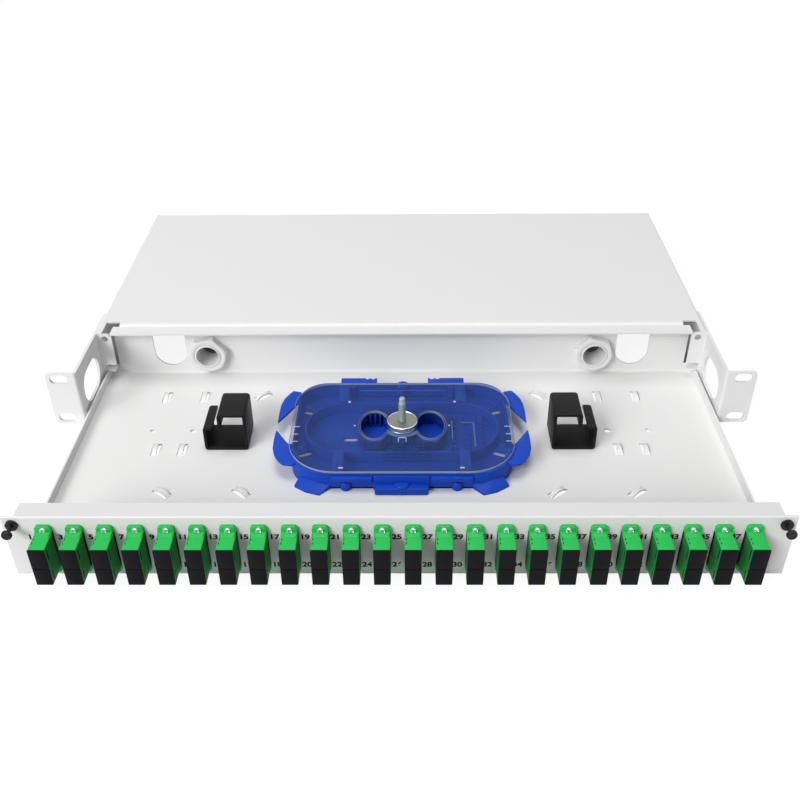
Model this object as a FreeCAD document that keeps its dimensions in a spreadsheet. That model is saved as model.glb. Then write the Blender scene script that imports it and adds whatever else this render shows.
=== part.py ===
# Sliding fibre patch drawer for a 19 inch rack, one unit high, drawn out of its casing.
# Lengths are millimetres. X runs across the rack, Y to the rear and Z up.
# Sub-parts are drawn from the front edge of the casing, the middle of its width and the underside of its lips.
# Their placements carry them to the rack frame: the centre of the four ear slots on the mounting plane.
import FreeCAD, Part
import math
import os
import Sketcher
from types import SimpleNamespace

os.makedirs("parts", exist_ok=True)
doc = FreeCAD.newDocument("PatchDrawer")
sheet = doc.addObject("Spreadsheet::Sheet", "Sizes")
Vector = FreeCAD.Vector
Rotation = FreeCAD.Rotation

# Driving sizes
SIZES = {
    # Casing
    "rack_width": 482.6,
    "ear_reach": 21.3,
    "casing_depth": 203.0,
    "casing_height": 43.6,
    "casing_sheet": 1.2,
    "casing_bend": 1.5,
    "rail_width": 12.0,
    "strip_drop": 1.5,
    "strip_depth": 10.8,
    "strip_side_gap": 9.7,
    "joggle_run": 1.7,
    "joggle_side_gap": 14.4,
    "relief_outer_gap": 4.4,
    "relief_end": 15.1,
    "post_width": 10.5,
    "post_low": 16.0,
    "post_strip_gap": 0.3,
    "post_inner_step": 9.0,
    "hold_tab_reach": 7.2,
    "hold_tab_length": 6.0,
    "hold_tab_gap": 0.4,
    # Rack ears
    "ear_sheet": 2.0,
    "ear_height": 41.6,
    "ear_back": 50.0,
    "ear_rear_run": 36.0,
    "ear_bend": 2.0,
    "slot_inset": 8.75,
    "slot_pitch_up": 31.75,
    "slot_length": 12.0,
    "slot_width": 6.8,
    "ear_corner": 3.0,
    "ear_rear_corner": 9.0,
    "cable_hole_length": 36.0,
    "cable_hole_width": 24.0,
    "cable_hole_depth": 25.0,
    "cable_hole_rise": 20.0,
    "ear_screw_rise": 10.0,
    "ear_screw_back": 18.0,
    "ear_screw_radius": 1.5,
    "ear_screw_head_radius": 2.9,
    "ear_screw_head": 1.8,
    "ear_screw_length": 4.7,
    "screw_gap": 0.1,
    # Drawer tray
    "drawer_out": 195.0,
    "closed_gap": 0.3,
    "tray_side_gap": 0.55,
    "tray_rail_gap": 0.2,
    "tray_sheet": 1.2,
    "tray_wall": 7.6,
    "rear_wall_front": 10.8,
    "rear_wall_catch": 1.5,
    "rear_wall_top": 40.0,
    "rear_wall_bend": 2.0,
    "cut_out_inset": 40.0,
    "cut_out_width": 23.8,
    "cut_out_low": 8.6,
    "tray_front_lip": 5.0,
    "floor_hole_radius": 2.25,
    "floor_hole_gap": 12.0,
    "floor_hole_pitch": 28.0,
    "floor_hole_back": -63.7,
    # Tie bridges of the tray floor
    "tie_length": 13.0,
    "tie_width": 3.0,
    "tie_rise": 2.4,
    "tie_slot_gap": 1.3,
    "tie_outer_gap": 38.8,
    "tie_outer_back": -23.0,
    "tie_inner_gap": 11.4,
    "tie_inner_back": -23.0,
    "tie_far_gap": 33.7,
    "tie_far_back": -84.5,
    "tie_near_gap": 15.8,
    "tie_near_back": -84.5,
    "tie_wide_gap": 20.0,
    "tie_wide_back": -128.7,
    "tie_wide_turn": 36.5,
    "tie_narrow_inset": 1.1,
    "tie_narrow_back": -128.5,
    "tie_narrow_turn": 39.3,
    "tie_cassette_inset": 2.0,
    "tie_cassette_back": -21.6,
    "tie_cassette_turn": -40.8,
    # Front panel
    "panel_sheet": 1.2,
    "panel_return": 11.9,
    "panel_return_gap": 7.2,
    "panel_bend": 1.0,
    # Adapters and dust caps
    "adapter_count": 24.0,
    "adapter_group_count": 6.0,
    "panel_end": 14.2,
    "adapter_rise": 20.8,
    "adapter_width": 9.3,
    "adapter_body_height": 26.0,
    "adapter_flange_height": 34.8,
    "adapter_flange": 2.2,
    "adapter_flange_chamfer": 1.6,
    "adapter_front": 15.5,
    "adapter_rear": 13.0,
    "adapter_cut_gap": 0.1,
    "adapter_wall": 1.15,
    "adapter_web": 2.4,
    "adapter_middle": 3.0,
    "socket_wall": 1.25,
    "cap_flange": 1.3,
    "cap_gap": 0.08,
    "cap_plug_gap": 0.1,
    "cap_plug": 8.0,
    # Plunger latches
    "latch_inset": 5.6,
    "sleeve_radius": 2.2,
    "sleeve_gap": 0.1,
    "post_hole_gap": 0.2,
    "sleeve_reach": 2.3,
    "grommet_radius": 3.5,
    "grommet_disc": 1.5,
    "pin_radius": 1.2,
    "pin_gap": 0.05,
    "plunger_head_radius": 3.0,
    "plunger_head": 2.5,
    "plunger_head_dome": 0.8,
    "plunger_travel": 5.6,
    "plunger_stop_gap": 0.3,
    "pin_tip": 0.5,
    # Cable clips
    "clip_cassette_gap": 17.1,
    "clip_width": 29.2,
    "clip_front": -84.9,
    "clip_length": 26.0,
    "clip_wall": 2.0,
    "clip_height": 28.8,
    "clip_mouth": 4.0,
    "clip_lip_drop": 10.4,
    "clip_outer_height": 18.5,
    "clip_outer_lip": 6.3,
    "clip_round": 1.0,
    # Splice cassette
    "cassette_place": 1.5,
    "cassette_back": -79.6,
    "cassette_half_width": 72.0,
    "cassette_front": -45.2,
    "cassette_rear": 56.0,
    "cassette_front_corner": 24.0,
    "cassette_rear_corner": 20.0,
    "cassette_floor": 1.6,
    "cassette_wall": 1.6,
    "cover_under": 15.4,
    "cover_sheet": 1.6,
    "cover_overhang": 2.0,
    "cover_front_overhang": 0.6,
    "cover_rear_inset": 2.6,
    "cover_front_corner": 32.0,
    "cover_rear_corner": 25.0,
    "finger_pitch": 18.7,
    "finger_back": 3.4,
    "finger_half_width": 9.4,
    "finger_half_length": 14.8,
    "routing_inset": 6.5,
    "routing_front_inset": 24.2,
    "routing_rear_inset": 20.0,
    "routing_corner": 28.0,
    "routing_wall": 1.4,
    "routing_height": 8.8,
    "finger_ring_half": 11.1,
    "finger_ring_front": -13.0,
    "finger_ring_rear": 27.0,
    "finger_ring_corner": 8.0,
    "finger_ring_wall": 1.1,
    "finger_ring_height": 7.8,
    "retainer_inner": 37.4,
    "retainer_width": 7.2,
    "retainer_sheet": 1.4,
    "light_slot_length": 9.6,
    "light_slot_width": 4.0,
    "light_slot_turn": 24.0,
    "light_slot_inset": 7.4,
    "light_slot_front_gap": 33.6,
    "light_slot_rear_gap": 21.0,
    "light_slot_middle_place": 34.8,
    "light_slot_middle_back": 4.4,
    "leaf_low": 13.4,
    "leaf_sheet": 1.6,
    "leaf_reach": 12.3,
    "leaf_rear_tip": 9.0,
    "leaf_front_tip": 0.9,
    "hinge_inner": 18.3,
    "hinge_outer": 44.0,
    "hinge_reach": 7.4,
    "hinge_sheet": 1.6,
    "hinge_notch": 3.6,
    "front_tab_half": 17.0,
    "front_tab_reach": 6.5,
    "front_tab_sheet": 5.0,
    "front_plate_inner": 18.3,
    "front_plate_outer": 45.0,
    "front_plate_reach": 4.6,
    "front_plate_low": 10.0,
    "front_plate_high": 13.4,
    "corner_tab_sheet": 1.8,
    "bump_place": 35.4,
    "bump_radius": 3.4,
    "bump_height": 6.0,
    "rear_bump_radius": 4.4,
    "boss_radius": 7.0,
    "splice_gap": 9.5,
    "splice_width": 24.0,
    "splice_depth": 34.0,
    "splice_sheet": 1.4,
    "splice_rib": 1.2,
    "splice_rib_height": 6.0,
    "splice_ribs": 7.0,
    "splice_back": 6.0,
    # Stud, washer and thumb nut
    "stud_place": 1.8,
    "stud_back": -77.0,
    "stud_radius": 2.5,
    "stud_top": 39.9,
    "stud_chamfer": 0.8,
    "stud_gap": 0.1,
    "stud_hole_gap": 0.5,
    "washer_radius": 8.6,
    "washer_sheet": 0.8,
    "nut_radius": 10.2,
    "nut_height": 4.0,
    "nut_chamfer": 0.4,
    # Cable glands
    "gland_cut_out_gap": 28.5,
    "gland_rise": 20.0,
    "gland_thread": 9.95,
    "gland_bore": 8.2,
    "gland_hole_gap": 0.25,
    "gland_collar": 6.9,
    "gland_flange_flats": 24.0,
    "gland_flange": 5.0,
    "gland_rear_thread": 8.9,
    "gland_rear_reach": 12.0,
    "locknut_flats": 26.0,
    "locknut_height": 6.6,
    "locknut_turn": 17.0,
    "locknut_gap": 0.05,
    "dome_gap": 0.1,
    "dome_stand_off": 0.4,
    "dome_wall": 2.1,
    "dome_hex": 9.0,
    "dome_flats": 24.0,
    "dome_length": 23.0,
    "dome_mouth": 6.6,
    "dome_end_wall": 2.2,
    "seal_bore": 5.0,
    "seal_gap": 0.1,
    "seal_length": 8.0,
}

for row, (name, number) in enumerate(SIZES.items(), 1):
    sheet.set(f"A{row}", name)
    sheet.set(f"B{row}", str(number))
    sheet.setAlias(f"B{row}", name)
doc.recompute()


# A length that keeps its number beside the sheet expression it follows
class Measure:
    def __init__(self, value, text):
        self.value = value
        self.text = text

    def __add__(self, other):
        other = measure(other)
        return Measure(self.value + other.value, f"({self.text} + {other.text})")

    def __sub__(self, other):
        other = measure(other)
        return Measure(self.value - other.value, f"({self.text} - {other.text})")

    def __mul__(self, other):
        other = measure(other)
        return Measure(self.value * other.value, f"({self.text} * {other.text})")

    def __truediv__(self, other):
        other = measure(other)
        return Measure(self.value / other.value, f"({self.text} / {other.text})")

    def __neg__(self):
        return measure(0) - self

    def __radd__(self, other):
        return measure(other) + self

    def __rsub__(self, other):
        return measure(other) - self

    def __rmul__(self, other):
        return measure(other) * self


def measure(item):
    if isinstance(item, Measure):
        return item
    return Measure(float(item), f"({float(item)})")


d = SimpleNamespace(**{name: Measure(number, "Sizes." + name) for name, number in SIZES.items()})
SIDES = ((-1, "left"), (1, "right"))

# Sizes that follow from others
d.casing_width = d.rack_width - 2 * d.ear_reach
d.adapter_pitch = (d.casing_width - 2 * d.panel_end) / d.adapter_count
d.leaf_tip = d.cassette_half_width + d.leaf_reach
d.clip_inner = d.leaf_tip + d.clip_cassette_gap
d.clip_outer = d.clip_inner + d.clip_width


# A pair of limits on one side of the middle, lower one first
def span(side, inner, outer):
    return (-outer, -inner) if side < 0 else (inner, outer)


def bind(item, path, length):
    item.setExpression(path, measure(length).text)


def shift(item, x=0, y=0, z=0):
    for axis, length in zip("xyz", (x, y, z)):
        bind(item, "Placement.Base." + axis, length)


# Every sub-part goes from the casing's frame to the rack frame
def place(item, label, x=0, y=0, z=0):
    item.Label = label
    shift(item, x, y + d.ear_back, z - d.casing_height / 2)
    nodes.append(item)
    return item


nodes = []


# Sketch outlines with every point tied to the sheet
def tie_point(sketch, geometry, point, x, y):
    for kind, length in (("DistanceX", measure(x)), ("DistanceY", measure(y))):
        number = sketch.addConstraint(Sketcher.Constraint(kind, -1, 1, geometry, point, length.value))
        sketch.setExpression(f"Constraints[{number}]", length.text)


def tie_radius(sketch, geometry, radius):
    number = sketch.addConstraint(Sketcher.Constraint("Radius", geometry, radius.value))
    sketch.setExpression(f"Constraints[{number}]", radius.text)


def polygon(sketch, points):
    first = sketch.GeometryCount
    spots = [Vector(measure(x).value, measure(y).value, 0) for x, y in points]
    total = len(spots)
    for index in range(total):
        sketch.addGeometry(Part.LineSegment(spots[index], spots[(index + 1) % total]))
    for index in range(total):
        following = first + (index + 1) % total
        sketch.addConstraint(Sketcher.Constraint("Coincident", first + index, 2, following, 1))
    for index, (x, y) in enumerate(points):
        tie_point(sketch, first + index, 1, x, y)


def rectangle(sketch, across, up):
    (left, right), (low, high) = across, up
    polygon(sketch, [(left, low), (right, low), (right, high), (left, high)])


def circle(sketch, x, y, radius):
    centre = Vector(measure(x).value, measure(y).value, 0)
    number = sketch.addGeometry(Part.Circle(centre, Vector(0, 0, 1), radius.value))
    tie_radius(sketch, number, radius)
    tie_point(sketch, number, 3, x, y)


# Four arcs joined by four straight lines, one radius for the low corners and one for the high ones
def rounded(sketch, across, up, low_radius, high_radius):
    (left, right), (low, high) = across, up
    first = sketch.GeometryCount
    centres = (
        (left + low_radius, low + low_radius, low_radius, 180),
        (right - low_radius, low + low_radius, low_radius, 270),
        (right - high_radius, high - high_radius, high_radius, 0),
        (left + high_radius, high - high_radius, high_radius, 90),
    )
    ends = []
    for x, y, radius, start in centres:
        whole = Part.Circle(Vector(x.value, y.value, 0), Vector(0, 0, 1), radius.value)
        arc = Part.ArcOfCircle(whole, math.radians(start), math.radians(start + 90))
        sketch.addGeometry(arc)
        ends.append((arc.StartPoint, arc.EndPoint))
    for index in range(4):
        sketch.addGeometry(Part.LineSegment(ends[index][1], ends[(index + 1) % 4][0]))
    for index in range(4):
        line = first + 4 + index
        sketch.addConstraint(Sketcher.Constraint("Tangent", first + index, 2, line, 1))
        sketch.addConstraint(Sketcher.Constraint("Tangent", line, 2, first + (index + 1) % 4, 1))
    for index, (x, y, radius, start) in enumerate(centres):
        tie_point(sketch, first + index, 3, x, y)
    for index, radius in ((0, low_radius), (2, high_radius)):
        tie_radius(sketch, first + index, radius)
        sketch.addConstraint(Sketcher.Constraint("Equal", first + index, first + index + 1))


# An obround hole, its round ends half its width in radius
def obround(sketch, x, y, length, width, upright=False):
    x, y = measure(x), measure(y)
    reach = (length - width) / 2
    radius = width / 2
    step = (0, reach) if upright else (reach, 0)
    turn = 90 if upright else 0
    first = sketch.GeometryCount
    ends = []
    for way in (1, -1):
        centre = Vector(x.value + way * measure(step[0]).value, y.value + way * measure(step[1]).value, 0)
        start = turn - 90 if way > 0 else turn + 90
        whole = Part.Circle(centre, Vector(0, 0, 1), radius.value)
        arc = Part.ArcOfCircle(whole, math.radians(start), math.radians(start + 180))
        sketch.addGeometry(arc)
        ends.append((arc.StartPoint, arc.EndPoint))
    sketch.addGeometry(Part.LineSegment(ends[0][1], ends[1][0]))
    sketch.addGeometry(Part.LineSegment(ends[1][1], ends[0][0]))
    for arc, line, other in ((0, 2, 1), (1, 3, 0)):
        sketch.addConstraint(Sketcher.Constraint("Tangent", first + arc, 2, first + line, 1))
        sketch.addConstraint(Sketcher.Constraint("Tangent", first + line, 2, first + other, 1))
    for number, way in ((0, 1), (1, -1)):
        tie_point(sketch, first + number, 3, x + way * measure(step[0]), y + way * measure(step[1]))
    tie_radius(sketch, first, radius)


# Bodies made of sketches, pads and pockets
def new_body(name):
    return doc.addObject("PartDesign::Body", name)


def sketch_on(body, name, plane, level=0):
    sketch = body.newObject("Sketcher::SketchObject", name)
    for item in body.Origin.OriginFeatures:
        if item.Role == plane + "_Plane":
            sketch.AttachmentSupport = [(item, "")]
    sketch.MapMode = "FlatFace"
    level = measure(level)
    bind(sketch, "AttachmentOffset.Base.z", -level if plane == "XZ" else level)
    doc.recompute()
    return sketch


# A pad grows toward the rear, the right or the top from the level of its sketch
def pad(body, sketch, length, midplane=False):
    feature = body.newObject("PartDesign::Pad", sketch.Name + "_pad")
    feature.Profile = sketch
    bind(feature, "Length", length)
    feature.Midplane = midplane
    feature.Reversed = not midplane and "XZ" in sketch.AttachmentSupport[0][0].Role
    doc.recompute()
    return feature


# A pocket is turned round when its first direction meets no material
def pocket(body, sketch, length=None, midplane=False):
    before = body.Shape.Volume
    feature = body.newObject("PartDesign::Pocket", sketch.Name + "_pocket")
    feature.Profile = sketch
    if length is None:
        feature.Type = 1
    else:
        bind(feature, "Length", length)
    feature.Midplane = midplane
    doc.recompute()
    if not midplane and before - body.Shape.Volume < 0.001:
        feature.Reversed = True
        doc.recompute()
    if before - body.Shape.Volume < 0.001:
        raise RuntimeError(sketch.Name + " removes nothing")
    return feature


def revolve(body, sketch):
    feature = body.newObject("PartDesign::Revolution", sketch.Name + "_turned")
    feature.Profile = sketch
    feature.ReferenceAxis = (sketch, ["V_Axis"])
    feature.Angle = 360
    doc.recompute()
    return feature


# Edges are found by where their middles lie
def round_edges(body, radius, chosen):
    base = body.Tip
    edges = [f"Edge{index}" for index, edge in enumerate(base.Shape.Edges, 1) if chosen(edge.CenterOfMass)]
    feature = body.newObject("PartDesign::Fillet", body.Name + f"_round_{len(body.Group)}")
    feature.Base = (base, edges)
    bind(feature, "Radius", radius)
    doc.recompute()
    return feature


def close(one, other):
    return abs(one - measure(other).value) < 0.01


# Loose solids for booleans
def block(name, across, deep, high):
    item = doc.addObject("Part::Box", name)
    for (low, top), side, axis in zip((across, deep, high), ("Length", "Width", "Height"), "xyz"):
        bind(item, side, measure(top) - low)
        bind(item, "Placement.Base." + axis, low)
    return item


TURNS = {
    "X": Rotation(Vector(0, 1, 0), 90),
    "Y": Rotation(Vector(1, 0, 0), -90),
    "Z": Rotation(),
}


def rod(name, axis, radius, start, end, across, along):
    item = doc.addObject("Part::Cylinder", name)
    bind(item, "Radius", radius)
    bind(item, "Height", measure(end) - start)
    item.Placement = FreeCAD.Placement(Vector(), TURNS[axis])
    spots = {"X": (start, across, along), "Y": (across, start, along), "Z": (across, along, start)}
    shift(item, *spots[axis])
    return item


def upright(name, low, high, draw, *shape):
    sketch = doc.addObject("Sketcher::SketchObject", name + "_outline")
    draw(sketch, *shape)
    item = doc.addObject("Part::Extrusion", name)
    item.Base = sketch
    item.DirMode = "Custom"
    item.Dir = Vector(0, 0, 1)
    item.Solid = True
    bind(item, "LengthFwd", measure(high) - low)
    bind(item, "Placement.Base.z", low)
    return item


# A prism along Y, its outline drawn with X across and Z up
def along_depth(name, start, end, draw, *shape):
    sketch = doc.addObject("Sketcher::SketchObject", name + "_outline")
    draw(sketch, *shape)
    sketch.Placement = FreeCAD.Placement(Vector(), Rotation(Vector(1, 0, 0), 90))
    item = doc.addObject("Part::Extrusion", name)
    item.Base = sketch
    item.DirMode = "Custom"
    item.Dir = Vector(0, 1, 0)
    item.Solid = True
    bind(item, "LengthFwd", measure(end) - start)
    bind(item, "Placement.Base.y", start)
    return item


def cut(name, base, tools):
    item = doc.addObject("Part::Cut", name)
    item.Base = base
    item.Tool = tools[0] if len(tools) == 1 else fuse(name + "_tools", tools)
    return item


def fuse(name, parts, refine=False):
    item = doc.addObject("Part::MultiFuse", name)
    item.Shapes = parts
    item.Refine = refine
    return item


def gather(name, parts):
    item = doc.addObject("Part::Compound", name)
    item.Links = parts
    return item


# Shared places
casing_half = d.casing_width / 2
casing_inside = casing_half - d.casing_sheet
strip_top = d.casing_height - d.strip_drop
strip_under = strip_top - d.casing_sheet
post_inner = casing_half - d.post_width
latch_x = casing_half - d.latch_inset
latch_z = d.casing_height - d.latch_inset
pin_bore = d.pin_radius + d.pin_gap
panel_back = -d.drawer_out - d.closed_gap
panel_face = panel_back - d.panel_sheet
tray_half = casing_inside - d.tray_side_gap
floor_under = d.casing_sheet + d.tray_rail_gap
floor_top = floor_under + d.tray_sheet
wall_top = floor_under + d.tray_wall
rear_wall_back = d.rear_wall_front + d.tray_sheet
rear_wall_half = post_inner + d.rear_wall_catch
cut_out_x = rear_wall_half - d.cut_out_inset
gland_x = cut_out_x - d.gland_cut_out_gap
ear_low = (d.casing_height - d.ear_height) / 2
ear_screw_spots = [d.casing_height / 2 + way * d.ear_screw_rise for way in (-1, 1)]


# Casing: an inverted channel with inward lips, a joggled front strip, folded posts and hold-down tabs
def make_casing():
    body = new_body("casing")
    profile = sketch_on(body, "casing_section", "XZ")
    lip = casing_half - d.rail_width
    under = d.casing_height - d.casing_sheet
    polygon(profile, [
        (-casing_half, 0), (-lip, 0), (-lip, d.casing_sheet), (-casing_inside, d.casing_sheet),
        (-casing_inside, under), (casing_inside, under), (casing_inside, d.casing_sheet),
        (lip, d.casing_sheet), (lip, 0), (casing_half, 0),
        (casing_half, d.casing_height), (-casing_half, d.casing_height),
    ])
    pad(body, profile, d.casing_depth)
    relief = sketch_on(body, "relief", "XY", d.casing_height)
    relief_half = casing_half - d.relief_outer_gap
    rectangle(relief, (-relief_half, relief_half), (-1, d.relief_end))
    pocket(body, relief, d.casing_sheet)
    joggle = sketch_on(body, "joggle", "YZ")
    bend = d.strip_depth + d.joggle_run
    polygon(joggle, [
        (d.strip_depth - 0.5, strip_under), (d.strip_depth, strip_under), (d.relief_end + 0.5, under),
        (d.relief_end + 0.5, d.casing_height), (d.relief_end, d.casing_height),
        (bend, d.casing_height - 0.2), (d.strip_depth, strip_top), (d.strip_depth - 0.5, strip_top),
    ])
    pad(body, joggle, d.casing_width - 2 * d.joggle_side_gap, True)
    strip = sketch_on(body, "front_strip", "XY", strip_under)
    strip_half = casing_half - d.strip_side_gap
    rectangle(strip, (-strip_half, strip_half), (0, d.strip_depth))
    pad(body, strip, d.casing_sheet)
    for side, word in SIDES:
        post = sketch_on(body, word + "_post", "XZ")
        step = casing_half - d.post_inner_step
        polygon(post, [
            (side * post_inner, d.post_low), (side * casing_half, d.post_low),
            (side * casing_half, d.casing_height), (side * relief_half, d.casing_height),
            (side * relief_half, strip_top), (side * step, strip_top),
            (side * step, strip_under - d.post_strip_gap), (side * post_inner, strip_under - d.post_strip_gap),
        ])
        pad(body, post, d.casing_sheet)
        tab = sketch_on(body, word + "_hold_tab", "XY", wall_top + d.hold_tab_gap)
        rectangle(tab, span(side, casing_inside - d.hold_tab_reach, casing_inside + 0.2),
                  (d.casing_sheet, d.casing_sheet + d.hold_tab_length))
        pad(body, tab, d.casing_sheet)
        hole = sketch_on(body, word + "_latch_hole", "XZ")
        circle(hole, side * latch_x, latch_z, d.sleeve_radius + d.post_hole_gap)
        pocket(body, hole, d.casing_sheet * 1.5)
    screws = sketch_on(body, "ear_screw_holes", "YZ")
    for height in ear_screw_spots:
        circle(screws, d.ear_screw_back, height, d.ear_screw_radius + d.screw_gap)
    pocket(body, screws, d.casing_width + 2, True)
    round_edges(body, d.casing_bend, lambda spot: close(abs(spot.x), casing_half) and close(spot.z, d.casing_height)
                and spot.y > d.relief_end.value)
    place(body, "casing")


# Rack ears: a side plate on the casing and a flange with two slots
def make_ear(side, word):
    body = new_body("ear_" + word)
    plan = sketch_on(body, word + "_ear_plan", "XY", ear_low)
    outer = casing_half + d.ear_sheet
    flange_face = -d.ear_back - d.ear_sheet
    polygon(plan, [
        (side * casing_half, flange_face), (side * d.rack_width / 2, flange_face),
        (side * d.rack_width / 2, -d.ear_back), (side * outer, -d.ear_back),
        (side * outer, d.ear_rear_run), (side * casing_half, d.ear_rear_run),
    ])
    pad(body, plan, d.ear_height)
    slots = sketch_on(body, word + "_ear_slots", "XZ", -d.ear_back - d.ear_sheet)
    for way in (-1, 1):
        height = d.casing_height / 2 + way * d.slot_pitch_up / 2
        obround(slots, side * (d.rack_width / 2 - d.slot_inset), height, d.slot_length, d.slot_width)
    pocket(body, slots, d.ear_sheet)
    hole = sketch_on(body, word + "_cable_hole", "YZ", side * casing_half)
    obround(hole, -d.cable_hole_depth, d.cable_hole_rise, d.cable_hole_length, d.cable_hole_width)
    pocket(body, hole, d.ear_sheet * 1.5, False)
    screws = sketch_on(body, word + "_ear_screw_holes", "YZ", side * casing_half)
    for height in ear_screw_spots:
        circle(screws, d.ear_screw_back, height, d.ear_screw_radius + d.screw_gap)
    pocket(body, screws, d.ear_sheet * 1.5)
    middle = (side * (d.rack_width / 2)).value
    round_edges(body, d.ear_corner, lambda spot: close(spot.x, middle) and close(spot.y, -d.ear_back - d.ear_sheet / 2))
    round_edges(body, d.ear_rear_corner, lambda spot: close(spot.y, d.ear_rear_run) and spot.z > d.casing_height.value / 2
                and close(abs(spot.x), casing_half + d.ear_sheet / 2))
    round_edges(body, d.ear_bend, lambda spot: close(abs(spot.x), casing_half) and close(spot.y, flange_face)
                and close(spot.z, d.casing_height / 2))
    place(body, "ear_" + word)


def make_ear_screws():
    screws = []
    for side, word in SIDES:
        for number, height in enumerate(ear_screw_spots, 1):
            name = f"{word}_ear_screw_{number}"
            seat = casing_half + d.ear_sheet
            head = rod(name + "_head", "X", d.ear_screw_head_radius, *span(side, seat, seat + d.ear_screw_head),
                       d.ear_screw_back, height)
            shank = rod(name + "_shank", "X", d.ear_screw_radius, *span(side, seat - d.ear_screw_length, seat),
                        d.ear_screw_back, height)
            screws.append(fuse(name, [head, shank]))
    place(gather("ear_screws", screws), "ear_screws")


# Raised strips of the tray floor, each over a slot of its own
def tie_spots():
    for side in (-1, 1):
        yield side, d.clip_outer + d.tie_outer_gap, d.tie_outer_back, measure(90)
        yield side, d.clip_outer + d.tie_inner_gap, d.tie_inner_back, measure(90)
        yield side, d.clip_outer + d.tie_far_gap, d.tie_far_back, measure(90)
        yield side, d.clip_outer + d.tie_near_gap, d.tie_near_back, measure(90)
        yield side, d.clip_outer + d.tie_wide_gap, d.tie_wide_back, side * d.tie_wide_turn
        yield side, d.clip_inner - d.tie_narrow_inset, d.tie_narrow_back, side * d.tie_narrow_turn
        yield side, d.clip_inner - d.tie_cassette_inset, d.tie_cassette_back, side * d.tie_cassette_turn


def turn_flat(item, x, y, angle):
    bind(item, "Placement.Base.x", x)
    bind(item, "Placement.Base.y", y)
    item.Placement.Rotation = Rotation(Vector(0, 0, 1), angle.value)
    bind(item, "Placement.Rotation.Angle", angle if angle.value > 0 else -angle)
    if angle.value < 0:
        item.Placement.Rotation = Rotation(Vector(0, 0, -1), -angle.value)
    return item


# The arch of a strip: shares of its half length and of its rise
ARCH = ((-1, 0), (-0.72, 0.5), (-0.38, 0.88), (0, 1), (0.38, 0.88), (0.72, 0.5), (1, 0))


def make_ties():
    strips = []
    slots = []
    half = d.tie_length / 2
    crest = [(half * along, floor_top + d.tie_rise * share) for along, share in ARCH]
    under = [(along, level - d.tray_sheet) for along, level in reversed(crest)]
    for number, (side, x, y, angle) in enumerate(tie_spots(), 1):
        strip = along_depth(f"tie_{number}", 0, d.tie_width, polygon, crest + under)
        strip.Symmetric = True
        strips.append(turn_flat(strip, side * x, y, angle))
        gap = d.tie_width / 2 + d.tie_slot_gap
        slot = upright(f"tie_slot_{number}", floor_under - 0.5, floor_top + 0.5, rectangle, (-half, half), (-gap, gap))
        slots.append(turn_flat(slot, side * x, y, angle))
    return strips, slots


# Drawer tray: a floor with low sides and a front lip, and the tie bridges in slots of their own
def make_tray():
    body = new_body("tray_sheet")
    section = sketch_on(body, "tray_section", "XZ", panel_back)
    inner = tray_half - d.tray_sheet
    polygon(section, [
        (-tray_half, floor_under), (tray_half, floor_under), (tray_half, wall_top), (inner, wall_top),
        (inner, floor_top), (-inner, floor_top), (-inner, wall_top), (-tray_half, wall_top),
    ])
    pad(body, section, rear_wall_back - panel_back)
    lip = sketch_on(body, "front_lip", "XZ", panel_back)
    rectangle(lip, (-tray_half, tray_half), (floor_under, floor_under + d.tray_front_lip))
    pad(body, lip, d.tray_sheet)
    holes = sketch_on(body, "floor_holes", "XY", floor_top)
    for side, word in SIDES:
        for step in (0, 1):
            spot = d.clip_outer + d.floor_hole_gap + step * d.floor_hole_pitch
            circle(holes, side * spot, d.floor_hole_back, d.floor_hole_radius)
    pocket(body, holes, d.tray_sheet * 1.5)
    strips, slots = make_ties()
    place(cut("drawer_tray", body, slots), "drawer_tray")
    place(gather("tray_ties", strips), "tray_ties")


# Rear wall of the tray: it stands on the floor with a bend at its foot and is open for cables and glands
def make_rear_wall():
    body = new_body("tray_rear_wall")
    section = sketch_on(body, "rear_wall_section", "YZ")
    front = d.rear_wall_front
    bend = d.rear_wall_bend
    polygon(section, [
        (front - bend, floor_top), (rear_wall_back, floor_top), (rear_wall_back, d.rear_wall_top),
        (front, d.rear_wall_top), (front, floor_top + bend), (front - 0.13 * bend, floor_top + 0.5 * bend),
        (front - 0.5 * bend, floor_top + 0.13 * bend),
    ])
    pad(body, section, 2 * (tray_half - d.tray_sheet), True)
    ends = sketch_on(body, "rear_wall_ends", "XZ", d.rear_wall_front)
    reach = tray_half + 1
    for side, word in SIDES:
        rectangle(ends, span(side, rear_wall_half, reach), (wall_top, d.rear_wall_top + 1))
    pocket(body, ends, d.tray_sheet * 1.5)
    openings = sketch_on(body, "rear_openings", "XZ", d.rear_wall_front)
    cut_out = d.rear_wall_top - d.cut_out_low + d.cut_out_width
    for side, word in SIDES:
        obround(openings, side * cut_out_x, d.cut_out_low + cut_out / 2, cut_out, d.cut_out_width, True)
        circle(openings, side * gland_x, d.gland_rise, d.gland_thread + d.gland_hole_gap)
    pocket(body, openings, d.tray_sheet * 1.5)
    place(body, "tray_rear_wall")


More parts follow.
